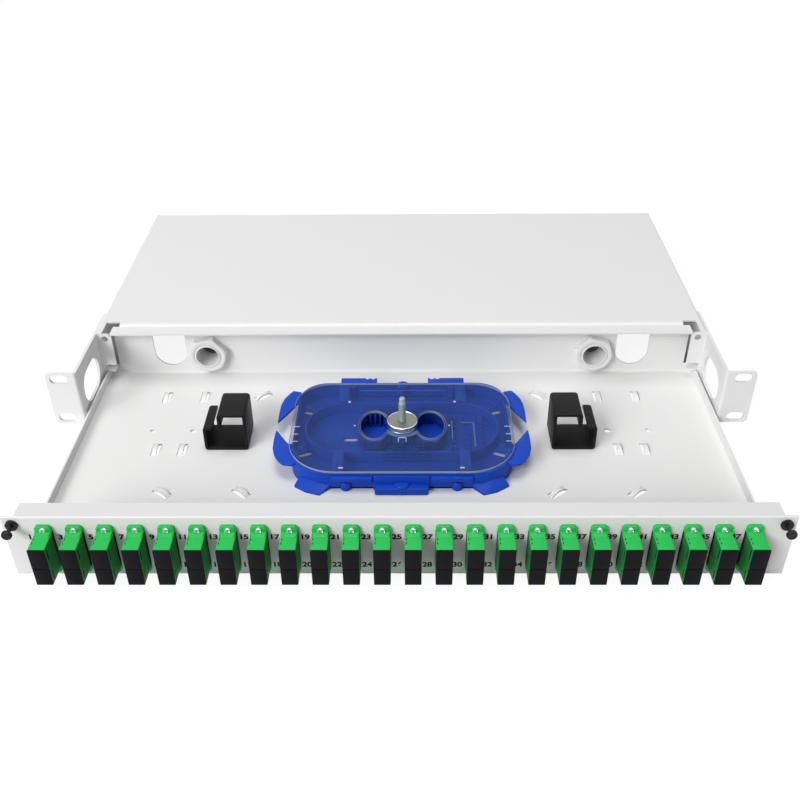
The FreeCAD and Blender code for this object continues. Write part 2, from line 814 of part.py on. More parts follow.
# Front panel: a plate with a return along the top and one cut-out per adapter
def make_panel():
    body = new_body("front_panel")
    plate = sketch_on(body, "panel_plate", "XZ", panel_face)
    rectangle(plate, (-casing_half, casing_half), (0, d.casing_height))
    pad(body, plate, d.panel_sheet)
    top = sketch_on(body, "panel_return_plan", "XY", d.casing_height - d.panel_sheet)
    half = casing_half - d.panel_return_gap
    rectangle(top, (-half, half), (panel_face, panel_face + d.panel_return))
    pad(body, top, d.panel_sheet)
    latches = sketch_on(body, "panel_latch_holes", "XZ", panel_face)
    for side, word in SIDES:
        circle(latches, side * latch_x, latch_z, d.sleeve_radius + d.sleeve_gap)
    pocket(body, latches, d.panel_sheet * 1.5)
    opening = sketch_on(body, "adapter_opening", "XZ", panel_face)
    first = -d.adapter_pitch * (d.adapter_count - 1) / 2
    half_width = d.adapter_width / 2 + d.adapter_cut_gap
    half_height = d.adapter_body_height / 2 + d.adapter_cut_gap
    rectangle(opening, (first - half_width, first + half_width),
              (d.adapter_rise - half_height, d.adapter_rise + half_height))
    single = pocket(body, opening, d.panel_sheet * 1.5)
    row = body.newObject("PartDesign::LinearPattern", "adapter_openings")
    row.Originals = [single]
    row.Direction = (opening, ["H_Axis"])
    bind(row, "Length", d.adapter_pitch * (d.adapter_count - 1))
    bind(row, "Occurrences", d.adapter_count)
    body.Tip = row
    doc.recompute()
    round_edges(body, d.panel_bend, lambda spot: close(spot.y, panel_face) and close(spot.z, d.casing_height))
    place(body, "front_panel")


# Adapters: a duplex housing through the panel with a screw flange on its face
def adapter_places():
    for number in range(int(SIZES["adapter_count"])):
        yield number + 1, d.adapter_pitch * (number - (SIZES["adapter_count"] - 1) / 2)


adapter_front = panel_face - d.adapter_front
adapter_rear = panel_back + d.adapter_rear
socket_height = (d.adapter_body_height - d.adapter_web) / 2 - d.socket_wall
socket_reach = (d.adapter_web + socket_height) / 2
socket_half = d.adapter_width / 2 - d.adapter_wall


def make_adapter(number, x):
    half = d.adapter_width / 2
    tall = d.adapter_flange_height / 2
    corner = d.adapter_flange_chamfer
    rise = d.adapter_rise
    flange = along_depth(f"adapter_flange_{number}", panel_face - d.adapter_flange, panel_face, polygon, [
        (x - half, rise - tall + corner), (x - half + corner, rise - tall), (x + half - corner, rise - tall),
        (x + half, rise - tall + corner), (x + half, rise + tall - corner), (x + half - corner, rise + tall),
        (x - half + corner, rise + tall), (x - half, rise + tall - corner),
    ])
    housing = block(f"adapter_housing_{number}", (x - half, x + half), (adapter_front, adapter_rear),
                    (rise - d.adapter_body_height / 2, rise + d.adapter_body_height / 2))
    middle = (adapter_front + adapter_rear) / 2
    sockets = []
    for way in (-1, 1):
        height = (rise + way * socket_reach - socket_height / 2, rise + way * socket_reach + socket_height / 2)
        across = (x - socket_half, x + socket_half)
        name = f"socket_{number}_{way + 1}"
        sockets.append(block(name + "_front", across, (adapter_front - 1, middle - d.adapter_middle / 2), height))
        sockets.append(block(name + "_rear", across, (middle + d.adapter_middle / 2, adapter_rear + 1), height))
    return cut(f"adapter_{number}", fuse(f"adapter_solid_{number}", [flange, housing], True), sockets)


def make_adapters():
    group_count = int(SIZES["adapter_group_count"])
    adapters = [make_adapter(number, x) for number, x in adapter_places()]
    for start in range(0, len(adapters), group_count):
        name = f"adapters_{start + 1:02d}_{start + group_count:02d}"
        place(gather(name, adapters[start:start + group_count]), name)


# Dust caps: a flat head on the end of the housing and a plug in the socket
def make_cap(name, x, way, face, outward):
    half = d.adapter_width / 2
    reach = d.adapter_body_height / 2
    gap = d.cap_gap / 2
    heights = (d.adapter_rise + gap, d.adapter_rise + reach) if way > 0 else (d.adapter_rise - reach, d.adapter_rise - gap)
    head_span = (face - d.cap_flange, face) if outward < 0 else (face, face + d.cap_flange)
    plug_span = (face, face + d.cap_plug) if outward < 0 else (face - d.cap_plug, face)
    head = block(name + "_head", (x - half, x + half), head_span, heights)
    centre = d.adapter_rise + way * socket_reach
    tall = socket_height / 2 - d.cap_plug_gap
    wide = socket_half - d.cap_plug_gap
    plug = block(name + "_plug", (x - wide, x + wide), plug_span, (centre - tall, centre + tall))
    return fuse(name, [head, plug], True)


def make_caps():
    rear = []
    for number, x in adapter_places():
        pair = [make_cap(f"front_cap_{number}_{way + 1}", x, way, adapter_front, -1) for way in (-1, 1)]
        name = f"dust_caps_{number:02d}"
        place(gather(name, pair), name)
        rear += [make_cap(f"rear_cap_{number}_{way + 1}", x, way, adapter_rear, 1) for way in (-1, 1)]
    place(gather("rear_caps", rear), "rear_caps")


# Latches: a grommet in the panel and a plunger pushed through it to spread it behind the post
grommet_face = panel_face - d.grommet_disc
head_back = grommet_face - d.plunger_travel - d.plunger_stop_gap


def make_latches():
    for side, word in SIDES:
        grommet = new_body("grommet_" + word)
        outline = sketch_on(grommet, word + "_grommet_section", "XY")
        polygon(outline, [
            (pin_bore, grommet_face), (d.grommet_radius, grommet_face), (d.grommet_radius, panel_face),
            (d.sleeve_radius, panel_face), (d.sleeve_radius, panel_back + d.sleeve_reach),
            (pin_bore, panel_back + d.sleeve_reach),
        ])
        revolve(grommet, outline)
        place(grommet, "latch_grommet_" + word, side * latch_x, 0, latch_z)
        plunger = new_body("plunger_" + word)
        profile = sketch_on(plunger, word + "_plunger_section", "XY")
        dome = d.plunger_head_dome
        tip = panel_back + d.sleeve_reach - 0.2
        polygon(profile, [
            (0, head_back - d.plunger_head), (d.plunger_head_radius - dome, head_back - d.plunger_head),
            (d.plunger_head_radius, head_back - d.plunger_head + dome), (d.plunger_head_radius, head_back),
            (d.pin_radius, head_back), (d.pin_radius, tip - d.pin_tip), (d.pin_radius - d.pin_tip, tip), (0, tip),
        ])
        revolve(plunger, profile)
        place(plunger, "latch_plunger_" + word, side * latch_x, 0, latch_z)


# Cable clips: a folded loop that is open between its two lips
def make_clip(side, word):
    body = new_body("clip_" + word)
    section = sketch_on(body, word + "_clip_section", "XZ", d.clip_front)
    wall = d.clip_wall
    top = floor_top + d.clip_height
    outer_top = floor_top + d.clip_outer_height
    lip = d.clip_outer - d.clip_outer_lip - d.clip_mouth
    low = floor_top
    polygon(section, [
        (side * d.clip_inner, low), (side * d.clip_outer, low), (side * d.clip_outer, outer_top),
        (side * (d.clip_outer - d.clip_outer_lip), outer_top), (side * (d.clip_outer - d.clip_outer_lip), outer_top - wall),
        (side * (d.clip_outer - wall), outer_top - wall), (side * (d.clip_outer - wall), low + wall),
        (side * (d.clip_inner + wall), low + wall), (side * (d.clip_inner + wall), top - wall),
        (side * (lip - wall), top - wall), (side * (lip - wall), top - d.clip_lip_drop),
        (side * lip, top - d.clip_lip_drop), (side * lip, top), (side * d.clip_inner, top),
    ])
    pad(body, section, d.clip_length)
    round_edges(body, d.clip_round, lambda spot: close(spot.y, d.clip_front + d.clip_length / 2) and (
        (close(abs(spot.x), d.clip_inner) and close(spot.z, top))
        or (close(abs(spot.x), lip) and close(spot.z, top))
        or (close(abs(spot.x), d.clip_outer) and close(spot.z, outer_top))))
    place(body, "cable_clip_" + word)


# Cassette base: floor, outer wall, retainers, leaves, hinge tabs and front tabs
def ring(name, low, high, across, up, low_radius, high_radius, wall):
    outer = upright(name + "_outer", low, high, rounded, across, up, low_radius, high_radius)
    inner = upright(name + "_inner", low - 1, high + 1, rounded, (across[0] + wall, across[1] - wall),
                    (up[0] + wall, up[1] - wall), low_radius - wall, high_radius - wall)
    return cut(name, outer, [inner])


deck = floor_top + d.cassette_floor
routing_half = d.cassette_half_width - d.routing_inset
routing_front = d.cassette_front + d.routing_front_inset
routing_rear = d.cassette_rear - d.routing_rear_inset
routing_top = deck + d.routing_height
stud_x = d.stud_place - d.cassette_place
stud_y = d.stud_back - d.cassette_back


def make_cassette_base():
    half = d.cassette_half_width
    low = floor_top
    leaf_high = d.leaf_low + d.leaf_sheet
    shape = ((-half, half), (d.cassette_front, d.cassette_rear), d.cassette_front_corner, d.cassette_rear_corner)
    parts = [
        upright("cassette_floor", low, deck, rounded, *shape),
        ring("cassette_wall", low, d.cover_under, *shape, d.cassette_wall),
    ]
    front = d.cassette_front
    rear = d.cassette_rear
    leaf_middle = (half + d.leaf_tip) / 2
    for side, word in SIDES:
        parts.append(upright(word + "_rear_leaf", d.leaf_low, leaf_high, polygon, [
            (side * (half - 3), rear - 10.4), (side * (half + 5.2), rear - 9.4), (side * (d.leaf_tip - 1.8), rear - 19.4),
            (side * d.leaf_tip, rear - 27.5), (side * (d.leaf_tip - 0.2), d.leaf_rear_tip),
            (side * (half + 3.4), rear - 31.0), (side * (half - 0.6), rear - 26.0),
        ]))
        parts.append(upright(word + "_front_leaf", d.leaf_low, leaf_high, polygon, [
            (side * (d.leaf_tip - 0.3), d.leaf_front_tip), (side * (d.leaf_tip + 0.3), front + 36.2),
            (side * (d.leaf_tip + 0.1), front + 27.2), (side * (d.leaf_tip - 3.3), front + 14.9),
            (side * (half + 4.5), front + 9.8), (side * (half - 5.4), front + 9.0), (side * (half - 1.4), front + 17.2),
            (side * (half - 0.6), front + 31.2), (side * leaf_middle, front + 36.6),
        ]))
        parts.append(upright(word + "_corner_tab", low, low + d.corner_tab_sheet, polygon, [
            (side * (half - 9.0), front + 11.2), (side * (half - 3.6), front + 1.0), (side * (half - 13.5), front - 5.0),
            (side * (half - 21.2), front - 8.0), (side * (half - 27.5), front + 0.4), (side * (half - 25.0), front + 5.2),
        ]))
        hinge_high = leaf_high - 0.4
        hinge_low = hinge_high - d.hinge_sheet
        hinge_rear = rear + d.hinge_reach
        middle = d.hinge_inner + 7.6
        parts.append(upright(word + "_hinge_tab", hinge_low, hinge_high, polygon, [
            (side * d.hinge_inner, d.cassette_rear - 1), (side * d.hinge_outer, d.cassette_rear - 1),
            (side * d.hinge_outer, hinge_rear), (side * middle, hinge_rear),
            (side * (middle - 0.8), hinge_rear - 1.8), (side * (middle - 2.2), hinge_rear - 1.8),
            (side * (middle - 3.0), hinge_rear), (side * (middle - d.hinge_notch - 0.8), hinge_rear - 1.4),
            (side * (middle - d.hinge_notch - 2.0), hinge_rear - 1.4), (side * d.hinge_inner, hinge_rear),
        ]))
        parts.append(block(word + "_front_plate", span(side, d.front_plate_inner, d.front_plate_outer),
                           (d.cassette_front - d.front_plate_reach + 2, d.cassette_front + 1),
                           (d.front_plate_low, d.front_plate_high)))
        for place_y, number in ((d.cassette_front + 0.6, 1), (d.cassette_rear - 0.6, 2)):
            parts.append(rod(f"{word}_bump_{number}", "Z", d.bump_radius, low, low + d.bump_height,
                             side * d.bump_place, place_y))
    parts.append(block("front_tab", (-d.front_tab_half, d.front_tab_half),
                       (d.cassette_front - d.front_tab_reach, d.cassette_front + 1), (low, low + d.front_tab_sheet)))
    parts.append(rod("rear_bump", "Z", d.rear_bump_radius, low, hinge_high, stud_x, rear - 0.6))
    parts.append(rod("cassette_boss", "Z", d.boss_radius, low, d.cover_under, stud_x, stud_y))
    for side, word in SIDES:
        reach = span(side, d.retainer_inner, d.retainer_inner + d.retainer_width)
        for name, deep in (("front", (front + 1, routing_front + d.routing_wall)),
                           ("rear", (routing_rear - d.routing_wall, rear - 1))):
            parts.append(block(f"{word}_{name}_retainer", reach, deep, (routing_top, routing_top + d.retainer_sheet)))
    holes = [rod("cassette_stud_hole", "Z", d.stud_radius + d.stud_hole_gap, low - 1, d.cover_under + 1, stud_x, stud_y)]
    slot_x = half - d.light_slot_inset
    spots = [(-d.light_slot_middle_place, d.light_slot_middle_back, measure(0))]
    for side, word in SIDES:
        spots.append((side * slot_x, front + d.light_slot_front_gap, side * -d.light_slot_turn))
        spots.append((side * slot_x, rear - d.light_slot_rear_gap, side * d.light_slot_turn))
    for number, (x, y, angle) in enumerate(spots, 1):
        slot = upright(f"light_slot_{number}", low - 1, deck + 1, obround, 0, 0, d.light_slot_length, d.light_slot_width)
        holes.append(turn_flat(slot, x, y, angle))
    base = cut("cassette_base", fuse("cassette_body", parts, True), holes)
    place(base, "cassette_base", d.cassette_place, d.cassette_back)


# Routing walls: an oval that the fibres wind round and a ring under each finger hole
def make_cassette_routing():
    parts = [ring("routing_wall", deck, routing_top, (-routing_half, routing_half), (routing_front, routing_rear),
                  d.routing_corner, d.routing_corner, d.routing_wall)]
    for side, word in SIDES:
        x = stud_x + side * d.finger_pitch
        parts.append(ring(word + "_finger_ring", deck, deck + d.finger_ring_height,
                          (x - d.finger_ring_half, x + d.finger_ring_half), (d.finger_ring_front, d.finger_ring_rear),
                          d.finger_ring_corner, d.finger_ring_corner, d.finger_ring_wall))
    place(gather("cassette_routing", parts), "cassette_routing", d.cassette_place, d.cassette_back)


# Splice holder: a comb that stands on the cassette floor inside the routing wall
def make_splice_holder():
    low = deck
    left = routing_half - d.splice_gap - d.splice_width
    front = d.splice_back - d.splice_depth / 2
    parts = [block("splice_floor", (left, left + d.splice_width), (front, front + d.splice_depth), (low, low + d.splice_sheet))]
    step = (d.splice_depth - d.splice_rib) / (d.splice_ribs - 1)
    for number in range(int(SIZES["splice_ribs"])):
        rib = front + step * number
        parts.append(block(f"splice_rib_{number}", (left, left + d.splice_width), (rib, rib + d.splice_rib),
                           (low, low + d.splice_rib_height)))
    place(fuse("splice_holder", parts, True), "splice_holder", d.cassette_place, d.cassette_back)


# Cover: a clear plate with two finger holes, clamped by the nut on the stud
def make_cover():
    body = new_body("cassette_cover")
    plate = sketch_on(body, "cover_plate", "XY", d.cover_under)
    half = d.cassette_half_width + d.cover_overhang
    rounded(plate, (-half, half), (d.cassette_front - d.cover_front_overhang, d.cassette_rear - d.cover_rear_inset),
            d.cover_front_corner, d.cover_rear_corner)
    pad(body, plate, d.cover_sheet)
    holes = sketch_on(body, "cover_holes", "XY", d.cover_under)
    circle(holes, stud_x, stud_y, d.stud_radius + d.stud_hole_gap)
    for side, word in SIDES:
        obround(holes, stud_x + side * d.finger_pitch, d.finger_back, 2 * d.finger_half_length,
                2 * d.finger_half_width, True)
    pocket(body, holes, d.cover_sheet * 1.5)
    place(body, "cassette_cover", d.cassette_place, d.cassette_back)


# Stud, washer and thumb nut on one axis
cover_top = d.cover_under + d.cover_sheet
nut_low = cover_top + d.washer_sheet


def turned(name, label, points, x, y, z=0):
    body = new_body(name)
    section = sketch_on(body, name + "_section", "XZ")
    polygon(section, points)
    revolve(body, section)
    return place(body, label, x, y, z)


def make_fastening():
    stud = d.stud_radius
    turned("stud", "cassette_stud", [
        (0, floor_top), (stud, floor_top), (stud, d.stud_top - d.stud_chamfer),
        (stud - d.stud_chamfer, d.stud_top), (0, d.stud_top),
    ], d.stud_place, d.stud_back)
    bore = stud + d.stud_gap
    turned("washer", "stud_washer", [
        (bore, cover_top), (d.washer_radius, cover_top), (d.washer_radius, nut_low), (bore, nut_low),
    ], d.stud_place, d.stud_back)
    edge = d.nut_chamfer
    top = nut_low + d.nut_height
    turned("nut", "thumb_nut", [
        (bore, nut_low), (d.nut_radius - edge, nut_low), (d.nut_radius, nut_low + edge),
        (d.nut_radius, top - edge), (d.nut_radius - edge, top), (bore, top),
    ], d.stud_place, d.stud_back)


# Cable glands: a threaded body through the rear wall, a locknut before it and a dome nut behind it
def hexagon(sketch, flats, turn):
    corner = flats / math.sqrt(3)
    polygon(sketch, [(corner * math.cos(math.radians(60 * step + turn)), corner * math.sin(math.radians(60 * step + turn)))
                     for step in range(6)])


def make_gland(side, word):
    collar = d.rear_wall_front - d.gland_collar
    flange_back = rear_wall_back + d.gland_flange
    thread_end = flange_back + d.gland_rear_reach
    gland = new_body("gland_" + word)
    tube = sketch_on(gland, word + "_gland_section", "XY")
    polygon(tube, [
        (d.gland_bore, collar), (d.gland_thread, collar), (d.gland_thread, flange_back),
        (d.gland_rear_thread, flange_back), (d.gland_rear_thread, thread_end), (d.gland_bore, thread_end),
    ])
    revolve(gland, tube)
    flange = sketch_on(gland, word + "_gland_flange", "XZ", rear_wall_back)
    hexagon(flange, d.gland_flange_flats, 90)
    circle(flange, 0, 0, d.gland_bore + 0.5)
    pad(gland, flange, d.gland_flange)
    place(gland, "gland_body_" + word, side * gland_x, 0, d.gland_rise)

    locknut = new_body("locknut_" + word)
    ring_shape = sketch_on(locknut, word + "_locknut_plan", "XZ", d.rear_wall_front - d.locknut_height)
    hexagon(ring_shape, d.locknut_flats, 90 + side * SIZES["locknut_turn"])
    circle(ring_shape, 0, 0, d.gland_thread + d.locknut_gap)
    pad(locknut, ring_shape, d.locknut_height)
    place(locknut, "gland_locknut_" + word, side * gland_x, 0, d.gland_rise)

    dome_start = flange_back + d.dome_stand_off
    dome_end = dome_start + d.dome_length
    inner = d.gland_rear_thread + d.dome_gap
    outer = inner + d.dome_wall
    shoulder = dome_end - d.dome_wall * 2
    dome = new_body("dome_" + word)
    shell = sketch_on(dome, word + "_dome_section", "XY")
    polygon(shell, [
        (inner, dome_start), (outer, dome_start), (outer, shoulder),
        (d.dome_mouth + d.dome_end_wall, dome_end), (d.dome_mouth, dome_end), (inner, dome_end - d.dome_end_wall - 1.5),
    ])
    revolve(dome, shell)
    band = sketch_on(dome, word + "_dome_band", "XZ", dome_start)
    hexagon(band, d.dome_flats, 90)
    circle(band, 0, 0, inner + 0.5)
    pad(dome, band, d.dome_hex)
    place(dome, "gland_dome_" + word, side * gland_x, 0, d.gland_rise)

    seal_start = thread_end - d.seal_length + 1.5
    seal = new_body("seal_" + word)
    cushion = sketch_on(seal, word + "_seal_section", "XY")
    outer_seal = d.gland_bore - d.seal_gap
    polygon(cushion, [
        (d.seal_bore, seal_start), (outer_seal, seal_start), (outer_seal, seal_start + d.seal_length),
        (d.seal_bore, seal_start + d.seal_length),
    ])
    revolve(seal, cushion)
    place(seal, "gland_seal_" + word, side * gland_x, 0, d.gland_rise)


make_casing()
for side, word in SIDES:
    make_ear(side, word)
make_ear_screws()
make_tray()
make_rear_wall()
make_panel()
make_adapters()
make_caps()
make_latches()
for side, word in SIDES:
    make_clip(side, word)
make_cassette_base()
make_cassette_routing()
make_splice_holder()
make_cover()
make_fastening()
for side, word in SIDES:
    make_gland(side, word)
doc.recompute()

# Nothing is written unless every object is sound
for item in doc.Objects:
    if "Invalid" in item.State or "Error" in item.State:
        raise RuntimeError(item.Name + " is not sound")
for item in nodes:
    if item.Shape.isNull() or not item.Shape.isValid():
        raise RuntimeError(item.Label + " has no valid shape")
for item in nodes:
    item.Shape.exportStep(f"parts/{item.Label}.step")
print(len(nodes), "sub-parts written")
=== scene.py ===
import math
import bpy
import numpy as np
from mathutils import Matrix, Vector
from mathutils.geometry import tessellate_polygon


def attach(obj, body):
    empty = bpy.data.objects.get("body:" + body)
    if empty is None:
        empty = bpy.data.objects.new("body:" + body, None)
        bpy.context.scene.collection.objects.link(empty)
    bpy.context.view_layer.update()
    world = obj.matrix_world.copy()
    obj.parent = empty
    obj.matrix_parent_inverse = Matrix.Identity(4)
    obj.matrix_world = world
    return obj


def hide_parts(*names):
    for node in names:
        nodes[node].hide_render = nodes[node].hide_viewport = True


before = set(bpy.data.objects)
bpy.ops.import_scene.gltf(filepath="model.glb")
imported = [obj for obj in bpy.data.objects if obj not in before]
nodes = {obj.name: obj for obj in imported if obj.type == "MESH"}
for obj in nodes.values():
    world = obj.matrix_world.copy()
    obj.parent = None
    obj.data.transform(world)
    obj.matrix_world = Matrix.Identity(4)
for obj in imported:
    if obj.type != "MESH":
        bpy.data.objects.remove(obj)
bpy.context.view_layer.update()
print("frame loaded:", len(nodes), "nodes")

# casing millimetres (front edge of the casing, middle, underside) to the rack frame in metres
rackFrame = {"earBack": 50.0, "halfUnit": 21.8}


def toRack(points):
    points = np.asarray(points, float)
    return (points + np.array([0.0, rackFrame["earBack"], -rackFrame["halfUnit"]])) / 1000.0


# an object for a mesh, text, lamp or camera, linked into the scene
def newItem(name, data):
    item = bpy.data.objects.new(name, data)
    bpy.context.scene.collection.objects.link(item)
    return item


# values for the unlinked inputs of a node
def fill(node, values):
    for label, value in values.items():
        node.inputs[label].default_value = value


# a shader node of a kind, with values for its unlinked inputs
def newNode(tree, kind, values=None):
    node = tree.nodes.new("ShaderNode" + kind)
    fill(node, values or {})
    return node


# node groups
def newGroup(name, inputs, outputs):
    group = bpy.data.node_groups.new(name, "ShaderNodeTree")
    for label, kind, value in inputs:
        group.interface.new_socket(name=label, in_out="INPUT", socket_type=kind).default_value = value
    for label, kind in outputs:
        group.interface.new_socket(name=label, in_out="OUTPUT", socket_type=kind)
    return group, group.nodes.new("NodeGroupInput"), group.nodes.new("NodeGroupOutput")


# a maths node whose inputs are sockets or plain numbers
def maths(tree, operation, *values):
    node = newNode(tree, "Math")
    node.operation = operation
    for socket, value in zip(node.inputs, values):
        if isinstance(value, float):
            socket.default_value = value
        else:
            tree.links.new(value, socket)
    return node.outputs[0]


def noise(tree, place, scale, detail):
    node = newNode(tree, "TexNoise", {"Detail": detail})
    tree.links.new(place.outputs["Object"], node.inputs["Vector"])
    tree.links.new(scale, node.inputs["Scale"])
    return node.outputs["Fac"]


def makeSurfaceGroup():
    # slow mottling of the tone, fine pebbling for the height, and a smear for the roughness
    group, inside, outside = newGroup(
        "surfaceGrain",
        [("Color", "NodeSocketColor", (0.8, 0.8, 0.8, 1.0)), ("Variation", "NodeSocketFloat", 0.05),
         ("Grain Scale", "NodeSocketFloat", 900.0), ("Patch Scale", "NodeSocketFloat", 18.0),
         ("Roughness", "NodeSocketFloat", 0.45), ("Smear", "NodeSocketFloat", 0.08)],
        [("Color", "NodeSocketColor"), ("Roughness", "NodeSocketFloat"), ("Height", "NodeSocketFloat")])
    link = group.links.new
    place = newNode(group, "TexCoord")
    patches = noise(group, place, inside.outputs["Patch Scale"], 3.0)
    grain = noise(group, place, inside.outputs["Grain Scale"], 2.0)
    centred = maths(group, "SUBTRACT", patches, 0.5)
    swing = maths(group, "MULTIPLY_ADD", centred, inside.outputs["Variation"], 1.0)
    tone = newNode(group, "VectorMath")
    tone.operation = "SCALE"
    link(inside.outputs["Color"], tone.inputs[0])
    link(swing, tone.inputs["Scale"])
    rough = maths(group, "MULTIPLY_ADD", centred, inside.outputs["Smear"], inside.outputs["Roughness"])
    link(tone.outputs[0], outside.inputs["Color"])
    link(rough, outside.inputs["Roughness"])
    link(grain, outside.inputs["Height"])
    return group


def makeSpeckGroup():
    # sparse tiny specks of dust or moulding marks, as a mask
    group, inside, outside = newGroup(
        "fineSpecks", [("Scale", "NodeSocketFloat", 260.0), ("Amount", "NodeSocketFloat", 0.05)],
        [("Mask", "NodeSocketFloat")])
    place = newNode(group, "TexCoord")
    cells = newNode(group, "TexVoronoi")
    group.links.new(place.outputs["Object"], cells.inputs["Vector"])
    group.links.new(inside.outputs["Scale"], cells.inputs["Scale"])
    under = maths(group, "LESS_THAN", cells.outputs["Distance"], inside.outputs["Amount"])
    group.links.new(under, outside.inputs["Mask"])
    return group


surfaceGroup = makeSurfaceGroup()
speckGroup = makeSpeckGroup()


# one finish: colour, roughness and pebbling from the shared group, plain constants on the shader
def makeFinish(name, look):
    material = bpy.data.materials.new(name)
    material.use_nodes = True
    tree = material.node_tree
    shader = tree.nodes["Principled BSDF"]
    surface = newNode(tree, "Group")
    surface.node_tree = surfaceGroup
    fill(surface, {"Color": (*look["color"], 1.0), "Variation": look.get("variation", 0.06),
                   "Grain Scale": look["grain"], "Patch Scale": look.get("patch", 18.0),
                   "Roughness": look["roughness"]})
    color = surface.outputs["Color"]
    if "specks" in look:
        specks = newNode(tree, "Group")
        specks.node_tree = speckGroup
        fill(specks, {"Amount": look["specks"]})
        mix = newNode(tree, "Mix")
        mix.data_type = "RGBA"
        fill(mix, {"B": (*look["speckColor"], 1.0)})
        tree.links.new(specks.outputs["Mask"], mix.inputs["Factor"])
        tree.links.new(color, mix.inputs["A"])
        color = mix.outputs["Result"]
    tree.links.new(color, shader.inputs["Base Color"])
    tree.links.new(surface.outputs["Roughness"], shader.inputs["Roughness"])
    bump = newNode(tree, "Bump", {"Strength": look["bump"], "Distance": 0.0001})
    tree.links.new(surface.outputs["Height"], bump.inputs["Height"])
    tree.links.new(bump.outputs["Normal"], shader.inputs["Normal"])
    fill(shader, {"Metallic": look.get("metallic", 0.0), "Specular IOR Level": look.get("specular", 0.5),
                  "Alpha": look.get("alpha", 1.0)})
    return material


# what several finishes share, then one dictionary for each finish
paint = {"roughness": 0.46, "grain": 1400.0, "bump": 0.10, "variation": 0.02, "specular": 0.25}
moulding = {"roughness": 0.40, "grain": 1500.0, "bump": 0.10, "variation": 0.12, "specular": 0.18}
clearSheet = {"roughness": 0.16, "grain": 700.0, "bump": 0.02, "specular": 0.12}
bright = {"roughness": 0.22, "metallic": 0.95, "grain": 1600.0, "bump": 0.06}
finishes = {
    "casingPaint": {**paint, "color": (0.78, 0.78, 0.78)},
    "trayPaint": {**paint, "color": (0.78, 0.78, 0.775), "variation": 0.03},
    # painted shade: the front panel's paint is darker than the casing's for the shade on its front face
    "panelPaintShaded": {**paint, "color": (0.72, 0.71, 0.715)},
    "adapterGreen": {"color": (0.016, 0.44, 0.080), "roughness": 0.42, "grain": 2500.0, "bump": 0.08,
                     "variation": 0.08, "specks": 0.035, "speckColor": (0.01, 0.25, 0.045), "specular": 0.22},
    # painted shade: a darker, mottled copy of the adapter green for the shaded flanks between adapters
    "adapterFlankShade": {"color": (0.010, 0.20, 0.040), "roughness": 0.50, "grain": 2500.0, "bump": 0.12,
                     "variation": 0.5, "patch": 420.0, "specks": 0.05, "speckColor": (0.006, 0.12, 0.024),
                     "specular": 0.18},
    "capBlack": {"color": (0.0055, 0.0055, 0.0072), "roughness": 0.60, "grain": 3000.0, "bump": 0.15,
                 "variation": 0.3, "specular": 0.08},
    "latchBlack": {"color": (0.008, 0.008, 0.009), "roughness": 0.45, "grain": 2600.0, "bump": 0.10,
                   "variation": 0.3, "specular": 0.25},
    "clipBlack": {"color": (0.0085, 0.0085, 0.009), "roughness": 0.48, "grain": 2200.0, "bump": 0.12,
                  "variation": 0.3, "specular": 0.12},
    "glandGrey": {"color": (0.74, 0.74, 0.735), "roughness": 0.48, "grain": 1800.0, "bump": 0.12,
                  "variation": 0.04, "specular": 0.3},
    "sealRubber": {"color": (0.09, 0.09, 0.09), "roughness": 0.70, "grain": 1600.0, "bump": 0.20,
                   "variation": 0.2},
    "cassetteBlue": {**moulding, "color": (0.006, 0.058, 0.48), "specks": 0.03,
                     "speckColor": (0.015, 0.085, 0.56)},
    # painted shade: a darker copy of the cassette blue for the walls and ribs in the shade under the cover
    "cassetteShadedBlue": {**moulding, "color": (0.004, 0.028, 0.22)},
    # painted highlight: a pale see-through blue for light lines and a patch of light on the cover
    "coverPaintedGlint": {**clearSheet, "color": (0.20, 0.33, 0.62), "roughness": 0.30, "alpha": 0.50},
    "coverClear": {**clearSheet, "color": (0.06, 0.105, 0.26), "variation": 0.05, "alpha": 0.20},
    "coverRib": {**clearSheet, "color": (0.012, 0.02, 0.09), "roughness": 0.20, "alpha": 0.55},
    # painted highlight: pale see-through rings for the light caught by the cover's cut edges
    "coverEdgeHighlight": {"color": (0.55, 0.60, 0.68), "roughness": 0.20, "grain": 900.0, "bump": 0.05,
                  "alpha": 0.50},
    "coverMark": {"color": (0.70, 0.72, 0.74), "roughness": 0.30, "grain": 900.0, "bump": 0.05},
    "studZinc": {"color": (0.30, 0.38, 0.38), "roughness": 0.45, "metallic": 0.30, "grain": 2000.0,
                 "bump": 0.10},
    "nutChrome": {**bright, "color": (0.24, 0.25, 0.23), "roughness": 0.42, "metallic": 0.85},
    "rimChrome": {**bright, "color": (0.78, 0.78, 0.78)},
    "screwSteel": {**bright, "color": (0.70, 0.72, 0.72), "grain": 2600.0, "bump": 0.08},
    "numeralInk": {"color": (0.012, 0.012, 0.012), "roughness": 0.60, "grain": 2400.0, "bump": 0.05,
                   "specular": 0.1},
}
made = {name: makeFinish(name, look) for name, look in finishes.items()}
print("finishes made:", len(made))

# finish of each node of the frame by how its name starts, and the first that fits holds
nodeFinish = {
    "casing": "casingPaint", "ear_screws": "screwSteel", "ear": "casingPaint", "drawer_tray": "trayPaint",
    "tray": "trayPaint", "front_panel": "panelPaintShaded", "adapters": "adapterGreen", "dust_caps": "capBlack",
    "rear_caps": "capBlack", "latch": "latchBlack", "cable_clip": "clipBlack", "gland_seal": "sealRubber",
    "gland": "glandGrey", "cassette_cover": "coverClear", "cassette_stud": "studZinc",
    "cassette": "cassetteBlue", "splice": "cassetteBlue", "stud_washer": "screwSteel",
    "thumb_nut": "nutChrome",
}
for name, node in nodes.items():
    finish = next(finish for start, finish in nodeFinish.items() if name.startswith(start))
    node.data.materials.clear()
    node.data.materials.append(made[finish])


